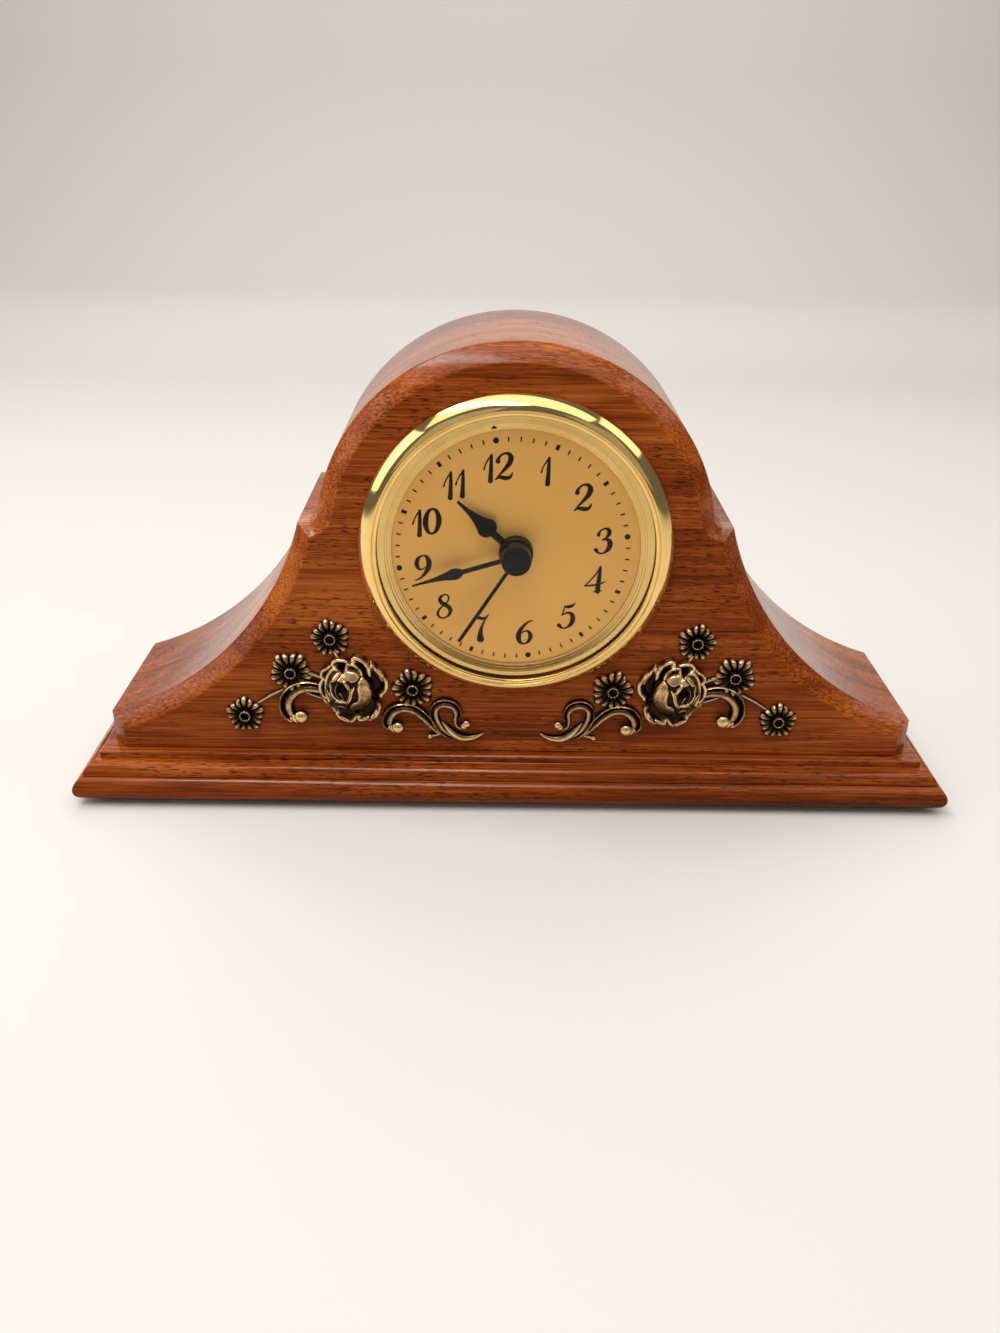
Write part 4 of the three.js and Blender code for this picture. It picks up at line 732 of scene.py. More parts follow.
CURLS = (
    # brightness, then a ridge with its half widths: lips of the opening and folds of the petals
    (0.8, ((7.5, 0.5, 0.28), (6.9, -0.9, 0.34), (6.4, -2.1, 0.34), (6, -3.1, 0.28))),
    (0.9, ((6.4, 0.8, 0.35), (6.1, -0.4, 0.5), (5.5, -1.3, 0.55), (4.5, -2, 0.5))),
    (1, ((5.3, -3, 0.45), (4.2, -2.6, 0.85), (3.1, -2.35, 0.85), (2.4, -2.5, 0.5))),
    (0.9, ((2.1, -3.4, 0.4), (1.3, -2.5, 0.65), (0.7, -1.4, 0.6), (0.4, -0.1, 0.6), (0.1, 1.1, 0.7),
     (-0.6, 2.1, 0.4))),
    (0.66, ((2.2, 4.2, 0.45), (1.5, 3.2, 0.7), (0.9, 2.3, 0.6), (0.5, 1.7, 0.35))),
    (0.5, ((4.2, 3.5, 0.22), (4.9, 2.2, 0.3), (5, 0.8, 0.3), (4.6, -0.4, 0.28), (4, -1.1, 0.22))),
    (0.48, ((3.6, 0.4, 0.28), (2.9, -0.5, 0.36), (2.6, -1.4, 0.25))),
    (0.56, ((6.6, 3.6, 0.4), (6.5, 2.3, 0.75), (6.5, 1.1, 0.5))),
    (0.5, ((6.6, -3.9, 0.25), (5.9, -5.2, 0.3), (4.9, -6, 0.3), (3.8, -6.5, 0.2))),
    (0.62, ((4.5, -4.7, 0.45), (3.3, -4.8, 0.85), (2.4, -5, 0.45))),
    (0.8, ((-6.9, 7.3, 0.6), (-7.4, 6, 1.1), (-7.9, 4.6, 1), (-8.4, 3.4, 0.7))),
    (0.72, ((-6.7, -6.6, 0.6), (-6.3, -8, 1.1), (-5.5, -9, 0.8))),
    (0.95, ((-1.5, -10.1, 0.5), (-2.9, -9.6, 0.7), (-4.1, -9, 0.45))),
    (0.8, ((4.9, -8.9, 0.5), (3.6, -9.6, 0.8), (2, -10.4, 0.6))),
)
# Middle and radius of the bud's opening, then middle, radius and height of the bud
OPENING, OPENING_RADIUS = (3.0, 1.5), 1.9
BUD, BUD_RADIUS, BUD_HEIGHT = (0.8, 0.6), 8.0, 5.5
ROSE_LEAST, ROSE_MOST = 8.0, 12.0
# Sections of the bands: place across, height and wear
GROOVED = (
    (-1, 0, 0), (-1, 0.35, 0.1), (-0.86, 0.74, 0.35), (-0.58, 0.96, 0.6), (-0.22, 1, 0.55),
    (0.1, 0.82, 0.3), (0.32, 0.45, 0.03), (0.48, 0.42, 0.03), (0.64, 0.8, 0.55), (0.79, 0.95, 0.85),
    (0.93, 0.78, 0.5), (1, 0.4, 0.15), (1, 0, 0),
)
ROUNDED = (
    (-1, 0, 0), (-1, 0.3, 0.1), (-0.84, 0.62, 0.3), (-0.5, 0.9, 0.6), (0, 1, 0.75), (0.5, 0.9, 0.6),
    (0.84, 0.62, 0.3), (1, 0.3, 0.1), (1, 0, 0),
)


def smooth(value, low, high):
    t = np.clip((value - low) / (high - low), 0, 1)
    return t * t * (3 - 2 * t)


def relief(form, centre, edge, height_wear, rings, around):
    """Closed polar relief: a field of heights inside an edge, on a flat back."""
    spin = np.linspace(0, 2 * pi, around, endpoint=False)
    share = np.r_[np.linspace(0, 1, rings)[1:], 1][:, None] * edge(spin)
    x, y = (np.r_[(share * way(spin)).ravel(), 0] for way in (np.cos, np.sin))
    z, wear = height_wear(x, y)
    z[-around - 1:-1] = 0
    top, last = len(x) - 1, (rings - 1) * around
    faces = [*grid(rings, around), *((i, (i + 1) % around, top) for i in range(around)),
             range(last, last + around)[::-1]]
    form.add(np.stack([x + centre[0], y + centre[1], z + SPRAY_SEAT], 1), faces, wear)


def daisy(form, x, y, turn, reach):
    """Flower of rounded petals in groups round a ring cup."""
    def ridge(spin):
        return np.abs(np.cos(DAISY_PETALS / 2 * (spin - turn))) ** 0.42

    def edge(spin):
        return reach * (0.925 + 0.075 * np.cos(DAISY_GROUPS * (spin - turn))) * (0.88 + 0.12 * ridge(spin))

    def height_wear(px, py):
        r, spin = np.hypot(px, py), np.arctan2(py, px)
        ride = ridge(spin)
        along = np.clip((r - CUP_RADIUS) / (edge(spin) - CUP_RADIUS), 0, 1)
        petal = (0.85 + 0.95 * np.sin(pi * (0.10 + 0.72 * along))) * (0.42 + 0.58 * ride)
        petal = petal * (1 - 0.5 * smooth(along, 0.84, 1.0))
        ring = smooth(r, 1.05, 1.38) * (1 - smooth(r, 1.62, CUP_RADIUS))
        cup = 1.0 + 1.35 * ring + 0.45 * (1 - smooth(r, 0.2, 0.75))
        rubbed = 0.10 + 0.55 * ride ** 1.7 * smooth(along, 0.0, 0.85)
        inside = r < CUP_RADIUS
        return np.where(inside, cup, petal), np.where(inside, 0.12 + 0.50 * ring, rubbed)

    relief(form, (x, y), edge, height_wear, rings=26, around=210)


def closed_curve(points, count=84):
    """Even points round a smooth closed curve through given points."""
    line = flowing([*points[-2:], *points, *points[:3]], 24 * (len(points) + 4) + 1)
    half = len(line) // 2
    gaps = np.linalg.norm(line - points[0], axis=1)
    start, stop = gaps[:half].argmin(), half + gaps[half:].argmin()
    return line[np.linspace(start, stop, count, endpoint=False).astype(int)]


def depth_inside(px, py, outline, rim_only=False):
    """How far points are inside an outline, or from its outer rim; below 0 outside the outline."""
    place = np.stack([px, py], 1)
    best, inside = np.full(len(px), 1e9), np.zeros(len(px), bool)
    middle = outline.mean(0)
    for a, b in zip(outline, np.roll(outline, -1, 0)):
        run = b - a
        if not rim_only or (a - middle) @ middle > -0.2 * np.linalg.norm(middle):
            t = np.clip((place - a) @ run / (run @ run), 0, 1)
            best = np.minimum(best, np.linalg.norm(place - a - t[:, None] * run, axis=1))
        cross = (a[1] > py) != (b[1] > py)
        with np.errstate(divide="ignore", invalid="ignore"):
            inside ^= cross & (px < run[0] * (py - a[1]) / run[1] + a[0])
    return np.where(inside, best, -best)


def rose(form, x, y):
    """Full rose: cupped petals with rolled rims round a wrapped bud that opens to one side."""
    cups = [(*row[:4], closed_curve(row[4])) for row in OUTER_PETALS]
    wraps = [(*row[:2], closed_curve(row[2])) for row in BUD_PETALS]
    curls = [(bright, flowing(line, 40)) for bright, line in CURLS]

    def edge(spin):
        reach = np.full(len(spin), ROSE_LEAST)
        for r in np.linspace(ROSE_LEAST, ROSE_MOST, 81):
            for *_, outline in cups:
                held = depth_inside(r * np.cos(spin), r * np.sin(spin), outline) > 0
                reach = np.where(held, r, reach)
        return reach

    def height_wear(px, py):
        z, wear = np.full(len(px), 0.5), np.zeros(len(px))

        def lay(where, height, shine):
            nonlocal z, wear
            z, wear = np.where(where, height, z), np.where(where, shine, wear)

        for high, roll, cup, bright, outline in cups:
            d = depth_inside(px, py, outline, True)
            over = np.sqrt(np.clip(1 - np.clip(1 - d / roll, 0, 1) ** 2, 0, 1))
            lift = high - 0.9 * (1 - over) - cup * smooth(d, roll, 1.6 * roll + 2.0)
            far = np.where(d < 0.8 * roll, 0.6 * roll, 0.35 + 0.5 * roll)
            shine = 0.54 * np.exp(-d / 3.6) + (bright - 0.40) * np.exp(-((d - 0.8 * roll) / far) ** 2)
            lay(d > 0, lift, shine * (0.85 + 0.15 * np.sin(1.3 * px + 0.9 * py)))
        rho = np.hypot(px - BUD[0], py - BUD[1]) / BUD_RADIUS
        ball = BUD_HEIGHT * np.sqrt(np.clip(1 - rho ** 2.6, 0, 1))
        lay((rho < 0.86) & (ball - 1.0 > z), ball - 1.0, 0.06 + 0.16 * smooth(1 - rho, 0.05, 0.4))
        for lift, bright, outline in wraps:
            d = depth_inside(px, py, outline)
            skin = ball - 0.55 + lift - 0.5 * (1 - smooth(d, 0, 0.5))
            shine = (bright + 0.2 * np.exp(-((d - 0.35) / 0.35) ** 2)) * (1 - 0.6 * smooth(rho, 0.88, 1.0))
            # painted shade: the bud's petals are made darker towards the bottom, as if lit from above
            lay((d > 0) & (rho < 1) & (skin > z), skin, shine * (0.62 + 0.38 * smooth(py, -6.5, 3.0)))
        hole = 1 - smooth(np.hypot(px - OPENING[0], py - OPENING[1]), 0.3, OPENING_RADIUS)
        z, wear = z - 1.5 * hole, wear * (1 - 0.92 * hole)
        for bright, line in curls:
            gaps = np.hypot(px[:, None] - line[:, 0], py[:, None] - line[:, 1])
            near = gaps.argmin(1)
            bead = 1 - smooth(gaps[np.arange(len(px)), near] / line[near, 2], 0.3, 1.3)
            z, wear = z + 0.5 * bead, np.maximum(wear, bright * bead)
        return z, wear

    relief(form, (x, y), edge, height_wear, rings=100, around=320)


def band(form, points, section, flip=1):
    """Band of a section along a line of points with half widths, closed at both ends."""
    line = flowing(points, 14 * len(points))
    rings = []
    for (x, y, half), (right, up) in zip(line, sideways(line) * flip):
        tall = 0.55 + 0.85 * half
        rings.append([(x + right * a, y + up * a, SPRAY_SEAT + tall * b) for a, b, _ in section])
    points, faces = loft(rings)
    ends = range(len(section))[::-1], range(len(points) - len(section), len(points))
    form.add(points, [*faces, *ends], [mark for _, _, mark in section] * len(rings))


def knob(form, x, y, radius):
    """Flattened ball on the wood, rubbed on top."""
    tall = 0.85 * radius
    spin = np.linspace(0, pi, 16)[1:-1]
    points, faces = lathe([(0, -1), *((sin(a), -cos(a)) for a in spin), (0, 1)], 28)
    wear = [0.75 * float(smooth((c + 1) / 2, 0.30, 0.9)) for _, _, c in points]
    points = [(x + radius * a, y + radius * b, SPRAY_SEAT + tall + tall * c) for a, b, c in points]
    form.add(points, faces, wear)


def spray_form():
    form = Form()
    for flip, points in SCROLLS:
        band(form, points, GROOVED, flip)
    for points in STEMS:
        band(form, points, ROUNDED)
    for row in DAISIES:
        daisy(form, *row)
    rose(form, *ROSE)
    for row in KNOBS:
        knob(form, *row)
    return form


# Dial print: numbers as pen strokes, lines of points with half widths in hundredths of the height

STROKES = {
    "0": (((0, 48, 3.5), (-15, 36, 6), (-22.5, 0, 8.5), (-15, -36, 6), (0, -48, 3.5), (15, -36, 6),
          (22.5, 0, 8.5), (15, 36, 6), (0, 48, 3.5)),),
    "1": (((3, 49, 4), (3, 10, 5.5), (2.5, -25, 6.4), (2, -47, 7.5)), ((-20, 0, 2.8), (-16, 15, 2),
          (-7, 34, 2.4), (4, 48, 3.4))),
    "2": (((-22, 22, 7), (-20, 34, 4.5), (-7, 47, 3), (10, 46, 5), (20, 30, 8), (15, 8, 7.5),
          (-2, -14, 4.5), (-18, -32, 2.5), (-28, -46, 2)), ((-28, -45, 2), (-16, -38, 4.5), (2, -44, 6.5),
          (18, -44, 5), (28, -28, 1.5))),
    "3": (((-19, 26, 5.5), (-16, 38, 3.5), (-3, 48, 2.5), (12, 43, 5.5), (16, 28, 6.5), (8, 12, 4),
          (-5, 5, 2)), ((-5, 5, 2), (10, 4, 4.5), (21, -10, 8), (18, -33, 7), (2, -48, 3), (-14, -45, 3),
          (-24, -32, 6.5))),
    "4": (((16, 50, 3), (2, 24, 2.5), (-16, 0, 2.2), (-34, -20, 2)), ((-34, -20, 2.2), (-5, -21.5, 3),
          (20, -19, 2.8), (34, -13, 1.5)), ((15, 50, 3), (14, 20, 5.5), (12, -15, 7), (11, -50, 7.5)),
          ((-3, -49, 1.8), (11, -48, 2.5), (25, -49, 1.8))),
    "5": (((-10, 44, 2), (2, 40, 5), (14, 42, 4.5), (26, 52, 1.2)), ((-9, 44, 2.5), (-13, 26, 2.2),
          (-18, 8, 2)), ((-18, 8, 2), (-3, 15, 3), (13, 10, 5.5), (20, -10, 8), (15, -34, 6.5), (0, -47, 3),
          (-15, -46, 3), (-26, -33, 6.5))),
    "6": (((24, 47, 2), (10, 42, 3), (-7, 25, 5), (-19, 2, 7.5), (-20, -22, 8), (-12, -42, 5),
          (2, -48, 2.5), (15, -40, 5), (21, -20, 7), (15, -1, 5), (3, 6, 2.5), (-12, -2, 2),
          (-19, -12, 1.5)),),
    "7": (((-25, 24, 1.5), (-21, 38, 4), (-8, 42, 5.5), (8, 36, 5), (20, 38, 3.5), (28, 50, 1.5)),
          ((26, 46, 2), (12, 18, 3), (4, -10, 5.5), (2, -32, 8.5), (3, -50, 11.5))),
    "8": (((15, 33, 3), (8, 46, 2.2), (-6, 46, 3), (-15, 33, 5.5), (-10, 17, 6.5), (5, 4, 7), (19, -12, 7),
          (20, -32, 5), (6, -48, 2.5), (-12, -46, 3), (-22, -29, 4), (-16, -10, 3), (0, 6, 2.2),
          (12, 20, 2.5), (15, 33, 3)),),
}
STROKES["9"] = [[(-x, -y, w) for x, y, w in stroke] for stroke in STROKES["6"]]
NUMBER_SLANT = 0.18
NUMBER_WIDTH = 1.15
PEN_WEIGHT = 1.28
# Places of the two digits of the hours 10 to 12, in heights
PAIR_GAP = {"10": (-0.315, 0.195), "11": (-0.23, 0.23), "12": (-0.335, 0.205)}
# How far each hour, from 1 to 12, is printed off its even place, then the whole print
NUMBER_PLACES = (
    (0, 0), (-0.35, 0.5), (0.45, -0.25), (0.2, 1.1), (0.2, 0.1), (0, 0.2), (0, 0.3), (0.1, -0.85),
    (-0.55, -0.9), (-0.4, -0.3), (0, -0.1), (-0.25, -0.3),
)
PRINT_SHIFT = (-0.9, -0.35)
# Thickness of the print over the dial, and of each next stroke over the one before
PRINT_BACK, PRINT_FRONT, PRINT_LAP = 0.004, 0.03, 0.004
# Minute track: radius of the dots, then half width and half height of the marks
DOT_RADIUS = 0.84
BLOCK, TICK = (0.50, 0.78), (0.21, 0.66)
# Mark on the ring over the hour 12
PIP = ((-0.7, 36.2), (0.7, 36.2), (0.25, 36.95), (-0.25, 36.95))
PIP_BACK, PIP_FRONT = 0.4, 1.15


def pen_stroke(points, back, front):
    """Plate of a pen stroke with round ends."""
    line = flowing(points, 12 * len(points))
    side = sideways(line)
    ends = []
    for tip, more in ((-1, 0), (0, pi)):
        turn = atan2(side[tip, 1], side[tip, 0]) + more
        ends.append(arc(line[tip, :2], line[tip, 2], turn, turn - pi, 8)[1:-1])
    left, right = line[:, :2] + side, line[:, :2] - side
    return prism([*left, *ends[0], *right[::-1], *ends[1]], back, front)


def pen_loop(points, back, front):
    """Plate of a pen stroke that closes on itself."""
    count = len(points) - 1
    wrapped = [*points[-3:-1], *points, *points[1:3]]
    rows = 16 * (len(wrapped) - 1)
    start = int(rows * 2 / (count + 4))
    line = flowing(wrapped, rows)[start:start + round(rows * count / (count + 4))]
    side = sideways(line)
    left, right = line[:, :2] + side, line[:, :2] - side
    corners = ((left, back), (right, back), (right, front), (left, front))
    rings = [[(*edge[i], z) for edge, z in corners] for i in range(len(line))]
    points, faces = loft([*rings, rings[0]])
    kept = len(rings) * len(corners)
    return points[:kept], [[i % kept for i in face] for face in faces]


def add_number(form, text, centre, height, back, front):
    for digit, shift in zip(text, PAIR_GAP.get(text, (0.0,))):
        for k, points in enumerate(STROKES[digit]):
            drawn = [(centre[0] + height * (NUMBER_WIDTH * x + NUMBER_SLANT * y + shift),
                      centre[1] + height * y, height * PEN_WEIGHT * w)
                     for x, y, w in np.array(points) / 100]
            pen = pen_loop if points[0] == points[-1] else pen_stroke
            form.add(*pen(drawn, back, front + PRINT_LAP * k))


def at_hour(radius, hours):
    angle = pi / 2 - hours * pi / 6
    return radius * cos(angle), radius * sin(angle)


def numbers_form(look, back, front):
    form = Form()
    for hour, off in enumerate(NUMBER_PLACES, 1):
        height = look.number_height if hour < 10 else look.pair_height
        add_number(form, str(hour), np.add(at_hour(look.number_radius, hour), off), height, back, front)
    return form


def track_form(radius, back, front):
    """Minute track: dots at the quarters, blocks at the other hours and ticks for the minutes."""
    form = Form()
    for minute in range(60):
        middle = np.array(at_hour(radius, minute / 5))
        if minute % 15 == 0:
            form.add(*prism(circle(middle, DOT_RADIUS, 28), back, front))
            continue
        half, tall = BLOCK if minute % 5 == 0 else TICK
        out = middle / radius
        side = np.array([-out[1], out[0]])
        corners = [middle + a * half * side + b * tall * out
                   for a, b in ((-1, -1), (1, -1), (1, 1), (-1, 1))]
        form.add(*prism(corners, back, front))
    ring, _ = depth_of("dial_ring")
    return form.add(*prism(PIP, ring + PIP_BACK, ring + PIP_FRONT))


# Insert


def bezel_form():
    back, front = depth_of("bezel")
    outer = (BEZEL_HIGH.x - BEZEL_LOW.x) / 2
    crown = bend((outer, 1.5), (outer - 1.7, 4.3), (41.0, front), 20)
    lip = [(r, front - drop) for r, drop in (
        (40.8, 0.06), (40.68, 0.22), (40.62, 0.5), (40.5, 0.62), (40.36, 0.62), (40.26, 0.48),
        (39.95, 0.46), (39.6, 0.56), (39.4, 0.8))]
    return turned_form([(44.2, back), (outer - 0.25, back), (outer, back + 0.25), *crown, *lip,
                        (39.4, 3.85), (40.2, 3.85), (40.2, 0.75), (44.2, 0.75)], 192)


def dome(apex, rim_radius, rim_height):
    sag = apex - rim_height
    radius = (rim_radius ** 2 + sag ** 2) / (2 * sag)
    return [(radius * sin(a), apex - radius * (1 - cos(a)))
            for a in np.linspace(0, asin(rim_radius / radius), 20)]


def lens_form():
    back, apex = depth_of("lens")
    rim = [(SEAT_RADIUS, back + LENS_RIM), (SEAT_RADIUS, back), (LENS_INNER, back)]
    inner = dome(apex - LENS_WALL, LENS_INNER, back + 0.4)
    return turned_form([*dome(apex, LENS_OUTER, back + LENS_RIM), *rim, *inner[::-1]], 160)


def dial_ring_form():
    back, front = depth_of("dial_ring")
    steps = [(r, back + rise) for r, rise in (
        (35.4, 0), (35.4, 0.35), (35.75, 0.42), (35.85, 0.62), (36.45, 0.78), (36.55, 1.0), (37.15, 1.16),
        (37.25, 1.38))]
    return turned_form([*steps, (37.5, front), (SEAT_RADIUS, front), (SEAT_RADIUS, back)], 192)


def dial_form():
    back, front = depth_of("dial")
    return turned_form([(BUSH_RADIUS, back), (SEAT_RADIUS, back), (SEAT_RADIUS, front),
                        (BUSH_RADIUS, front)], 192)


def hub_profile(node, inner, outer, ease, steps=6):
    """Section of a hub with a rounded front edge, as deep as its node."""
    back, front = depth_of(node)
    edge = [(outer - ease * (1 - cos(a)), front - ease * (1 - sin(a)))
            for a in np.linspace(0, pi / 2, steps)]
    return [(inner, back), (outer - 0.15, back), (outer, back + 0.15), *edge, (inner, front)]


def blade_outline(neck, neck_length, flare, belly, belly_at, taper, taper_at, tip, length):
    side = [(neck, 0), *bend((neck, neck_length), (belly, flare), (belly, belly_at), 14),
            *bend((belly, belly_at), (taper, taper_at), (tip, length), 14)[1:]]
    return side + [(-x, y) for x, y in side[::-1]]


def pointer_outline():
    """Straight blade of the second hand, narrower at its tip."""
    side = [(SECOND_HALF, 0), (SECOND_HALF, SECOND_LENGTH - SECOND_TAPER), (SECOND_TIP, SECOND_LENGTH)]
    return [(-SECOND_HALF, 0), *side, *((-x, y) for x, y in side[:0:-1])]


def hand_form(angle, profile, outline, blade_back, drop=0.0):
    """Hub and blade; drop is how much lower the blade lies for each mm outwards."""
    points, faces = prism(outline, blade_back, blade_back + BLADE_THICKNESS)
    points = [(x, y, z - drop * y) for x, y, z in points]
    return turned_form(profile, 96).add(points, faces).turned(INSERT_TURN - angle)


# Movement, seen from behind

COVER, COVER_CORNER, COVER_EASE = (-20, 19.9, -18.05, 27.0), 4, 0.2
RIBS, RIB_FIRST, RIB_STEP = 5, 10.5, 2.2
RIB_LONG, RIB_WIDE, RIB_TALL = 12, 0.45, 0.4
CELL, CELL_HOLE = (12, -10), 6.2
KNOB = (9 * cos(radians(20)), 9 * sin(radians(20)))
KNOB_RIBS, KNOB_EASE = (3.98, 3.98, 3.68, 3.68), 0.1
ARROW = ((-0.3, -1.8), (0.3, -1.8), (0.3, 0.6), (0.9, 0.6), (0, 1.9), (-0.9, 0.6), (-0.3, 0.6))
MARK_BACK, MARK_FRONT = -0.01, 0.1


def sleeve_form():
    back, front = depth_of("insert_sleeve")
    return turned_form([(35.0, front), (43.9, front), (43.9, 0.15), (36.5, 0.15), (36.5, back + 0.4),
                        (36.1, back), (35.4, back), (35.0, back + 0.4)], 160)


def rounded_box(left, right, bottom, top, corner):
    corners = ((right - corner, bottom + corner), (right - corner, top - corner),
               (left + corner, top - corner), (left + corner, bottom + corner))
    return [p for i, c in enumerate(corners) for p in arc(c, corner, (i - 1) * pi / 2, i * pi / 2, 8)]


def cover_form():
    """Cover with a hole for the cell, collars round the cell and the knob, and ribs."""
    back, front = depth_of("movement_cover")
    outline, hole = rounded_box(*COVER, COVER_CORNER), circle(CELL, CELL_HOLE, 64)
    form = Form()
    for z in (back, front):
        form.add(*flat_cap(level(outline, z), [level(hole, z)]))
    for loop in (outline, hole):
        form.add(*loft([level(loop, back), level(loop, front)]))
    for centre, inner, outer, tall in ((CELL, CELL_HOLE, 7.4, 0.55), (KNOB, 4.9, 5.9, 0.5)):
        collar = turned_form([(inner, back), (outer, back), (outer - 0.2, back - tall),
                              (inner + 0.2, back - tall)], 64).moved(*centre)
        form.add(collar.points, collar.faces)
    for k in range(RIBS):
        y = RIB_FIRST + RIB_STEP * k
        rib = rounded_box(-RIB_LONG, RIB_LONG, y - RIB_WIDE, y + RIB_WIDE, 0.4)
        form.add(*prism(rib, back - RIB_TALL, back))
    return form.turned(INSERT_TURN)


def knob_form():
    back, front = depth_of("setting_knob")
    spin = np.linspace(0, 2 * pi, 96, endpoint=False)
    ribs = [(r * cos(a), r * sin(a)) for r, a in zip(KNOB_RIBS * 24, spin)]
    top = [(0, back), (3.1, back), (3.45, back + 0.35), (0, back + 0.35)]
    form = Form().add(*prism(ribs, back + 0.35, front)).add(*lathe(top, 64))
    return form.add(*prism(ARROW, back + MARK_BACK, back + MARK_FRONT)).moved(*KNOB).turned(INSERT_TURN)


def cell_form():
    back, front = depth_of("button_cell")
    form = turned_form([(0, back), (5.35, back), (5.65, back + 0.12), (5.8, back + 0.4), (5.8, front - 1.0),
                        (5.5, front - 0.7), (5.0, front - 0.6), (4.9, front), (0, front)], 72)
    for wide, tall in ((1.5, 0.28), (0.28, 1.5)):
        form.add(*prism(rounded_box(-wide, wide, -tall, tall, 0.1), back + MARK_BACK, back + MARK_FRONT))
    return form.moved(*CELL).turned(INSERT_TURN)


# Stage, in metres: the floor's line from front to back, lamps and the camera's place

FLOOR_HALF, FLOOR_FRONT, BACKDROP_TOP = 3.0, -2.5, 2.6
BEND_START, BEND_RADIUS = 1.0, 0.6
SKY_COLOUR = (0.96, 0.98, 1.0, 1)
SOFT_WHITE = (1.0, 0.99, 0.97)
LAMPS = (
    # name, place, target, size, watts and colour
    ("key", (-0.45, -0.85, 0.55), (0, 0, 0.06), (0.7, 0.7), 0.48, (1.0, 0.97, 0.93)),
    ("fill", (0.70, -0.80, 0.50), (0, 0, 0.06), (0.7, 0.7), 0.38, (1.0, 0.95, 0.88)),
    ("top", (-0.05, -0.20, 0.94), (0, 0, 0.06), (1.5, 0.6), 3.9, SOFT_WHITE),
    ("strip", (-0.27, -0.18, 0.90), (-0.02, 0, 0.05), (1.1, 0.16), 3.8, SOFT_WHITE),
    ("wall", (0.0, 0.70, 0.75), (0, 1.6, 0.60), (2.0, 0.5), 6.8, SOFT_WHITE),
    ("back", (0.0, 0.60, 0.90), (0, 0, 0.10), (1.2, 0.8), 5.0, SOFT_WHITE),
    ("left", (-0.75, -0.10, 0.40), (-0.1, 0, 0.04), (0.5, 0.5), 1.4, (1.0, 0.98, 0.96)),
    ("right", (0.75, 0.0, 0.65), (0.05, 0, 0.08), (0.5, 0.4), 0.9, SOFT_WHITE),
)
CAMERA_PLACE = Vector((-6.41, FACE - 297.80, PLINTH_LOW.z + 194.66)) * MM
SENSOR_HEIGHT = 36


# Operators

# Where in the grain each board is cut
CASE_GRAIN, PLINTH_GRAIN = (0.31, 0.17, 0.02), (1.27, 0.63, 0.41)


class CLOCK_OT_case(bpy.types.Operator):
    """Wooden case with its chamfered front edge and bore"""

    bl_idname = "clock.case"
    bl_label = "Case"

    def execute(self, context):
        finish = wood_finish("mahogany_case", context.scene.clock_wood, CASE_GRAIN)
        piece("case_wood", case_form(), CASE_FOOT, "case", finish, ["case_body"], sharp=24)
        return {"FINISHED"}


class CLOCK_OT_plinth(bpy.types.Operator):
    """Moulded base board, its feet and the insert's grip ring"""

    bl_idname = "clock.plinth"
    bl_label = "Plinth"

    def execute(self, context):
        finish = wood_finish("mahogany_plinth", context.scene.clock_wood, PLINTH_GRAIN)
        piece("plinth_wood", plinth_form(), PLINTH_LOW.z, "case", finish, ["plinth"], sharp=35)
        rubber = plain_finish("foot_rubber", (0.022, 0.020, 0.019, 1), 0.85, scale=900)
        dress(rubber, "grip_ring", *(f"foot_{end}_{side}" for end in ("front", "rear")
                                     for side in ("left", "right")))
        return {"FINISHED"}


class CLOCK_OT_sprays(bpy.types.Operator):
    """Pair of stamped brass rose sprays"""

    bl_idname = "clock.sprays"
    bl_label = "Rose sprays"

    def execute(self, context):
        finish = antique_brass_finish("antique_brass", context.scene.clock_metal)
        right = spray_form()
        for side, form in (("left", right.mirrored()), ("right", right)):
            piece(f"rose_spray_{side}_brass", form, CASE_FOOT, "case", finish,
                  [f"rose_spray_{side}"], sharp=50)
        return {"FINISHED"}


class CLOCK_OT_insert(bpy.types.Operator):
    """Gold bezel, lens and stepped dial ring"""

    bl_idname = "clock.insert"
    bl_label = "Bezel and lens"

    def execute(self, context):
        metal = context.scene.clock_metal
        gold = polished_gold_finish("polished_gold", metal.gold[:], 0.045)
        piece("bezel_gold", bezel_form(), DIAL_AXIS, "insert", gold, ["bezel"], sharp=40)
        ring = polished_gold_finish("ring_gold", metal.ring[:], 0.14)
        piece("dial_ring_gold", dial_ring_form(), DIAL_AXIS, "insert", ring, ["dial_ring"],
              sharp=25)
        clear = clear_finish("clear_lens")
        piece("lens_dome", lens_form(), DIAL_AXIS, "insert", clear, ["lens"], sharp=40)
        return {"FINISHED"}


class CLOCK_OT_dial(bpy.types.Operator):
    """Dial with its printed numbers and minute track"""

    bl_idname = "clock.dial"
    bl_label = "Dial"

    def execute(self, context):
        look = context.scene.clock_dial
        satin = dial_finish("satin_gold", look)
        piece("dial_gold", dial_form(), DIAL_AXIS, "insert", satin, ["dial"])
        ink = plain_finish("dial_ink", look.ink[:], 0.5, scale=1500, mottle=0.25, shine=0.2)
        _, dial = depth_of("dial")
        back, front = dial + PRINT_BACK, dial + PRINT_FRONT
        for name, form in (("dial_numbers", numbers_form(look, back, front)),
                           ("dial_track", track_form(look.track_radius, back, front))):
            form.turned(INSERT_TURN).moved(*PRINT_SHIFT)
            piece(name, form, DIAL_AXIS, "insert", ink)
        return {"FINISHED"}


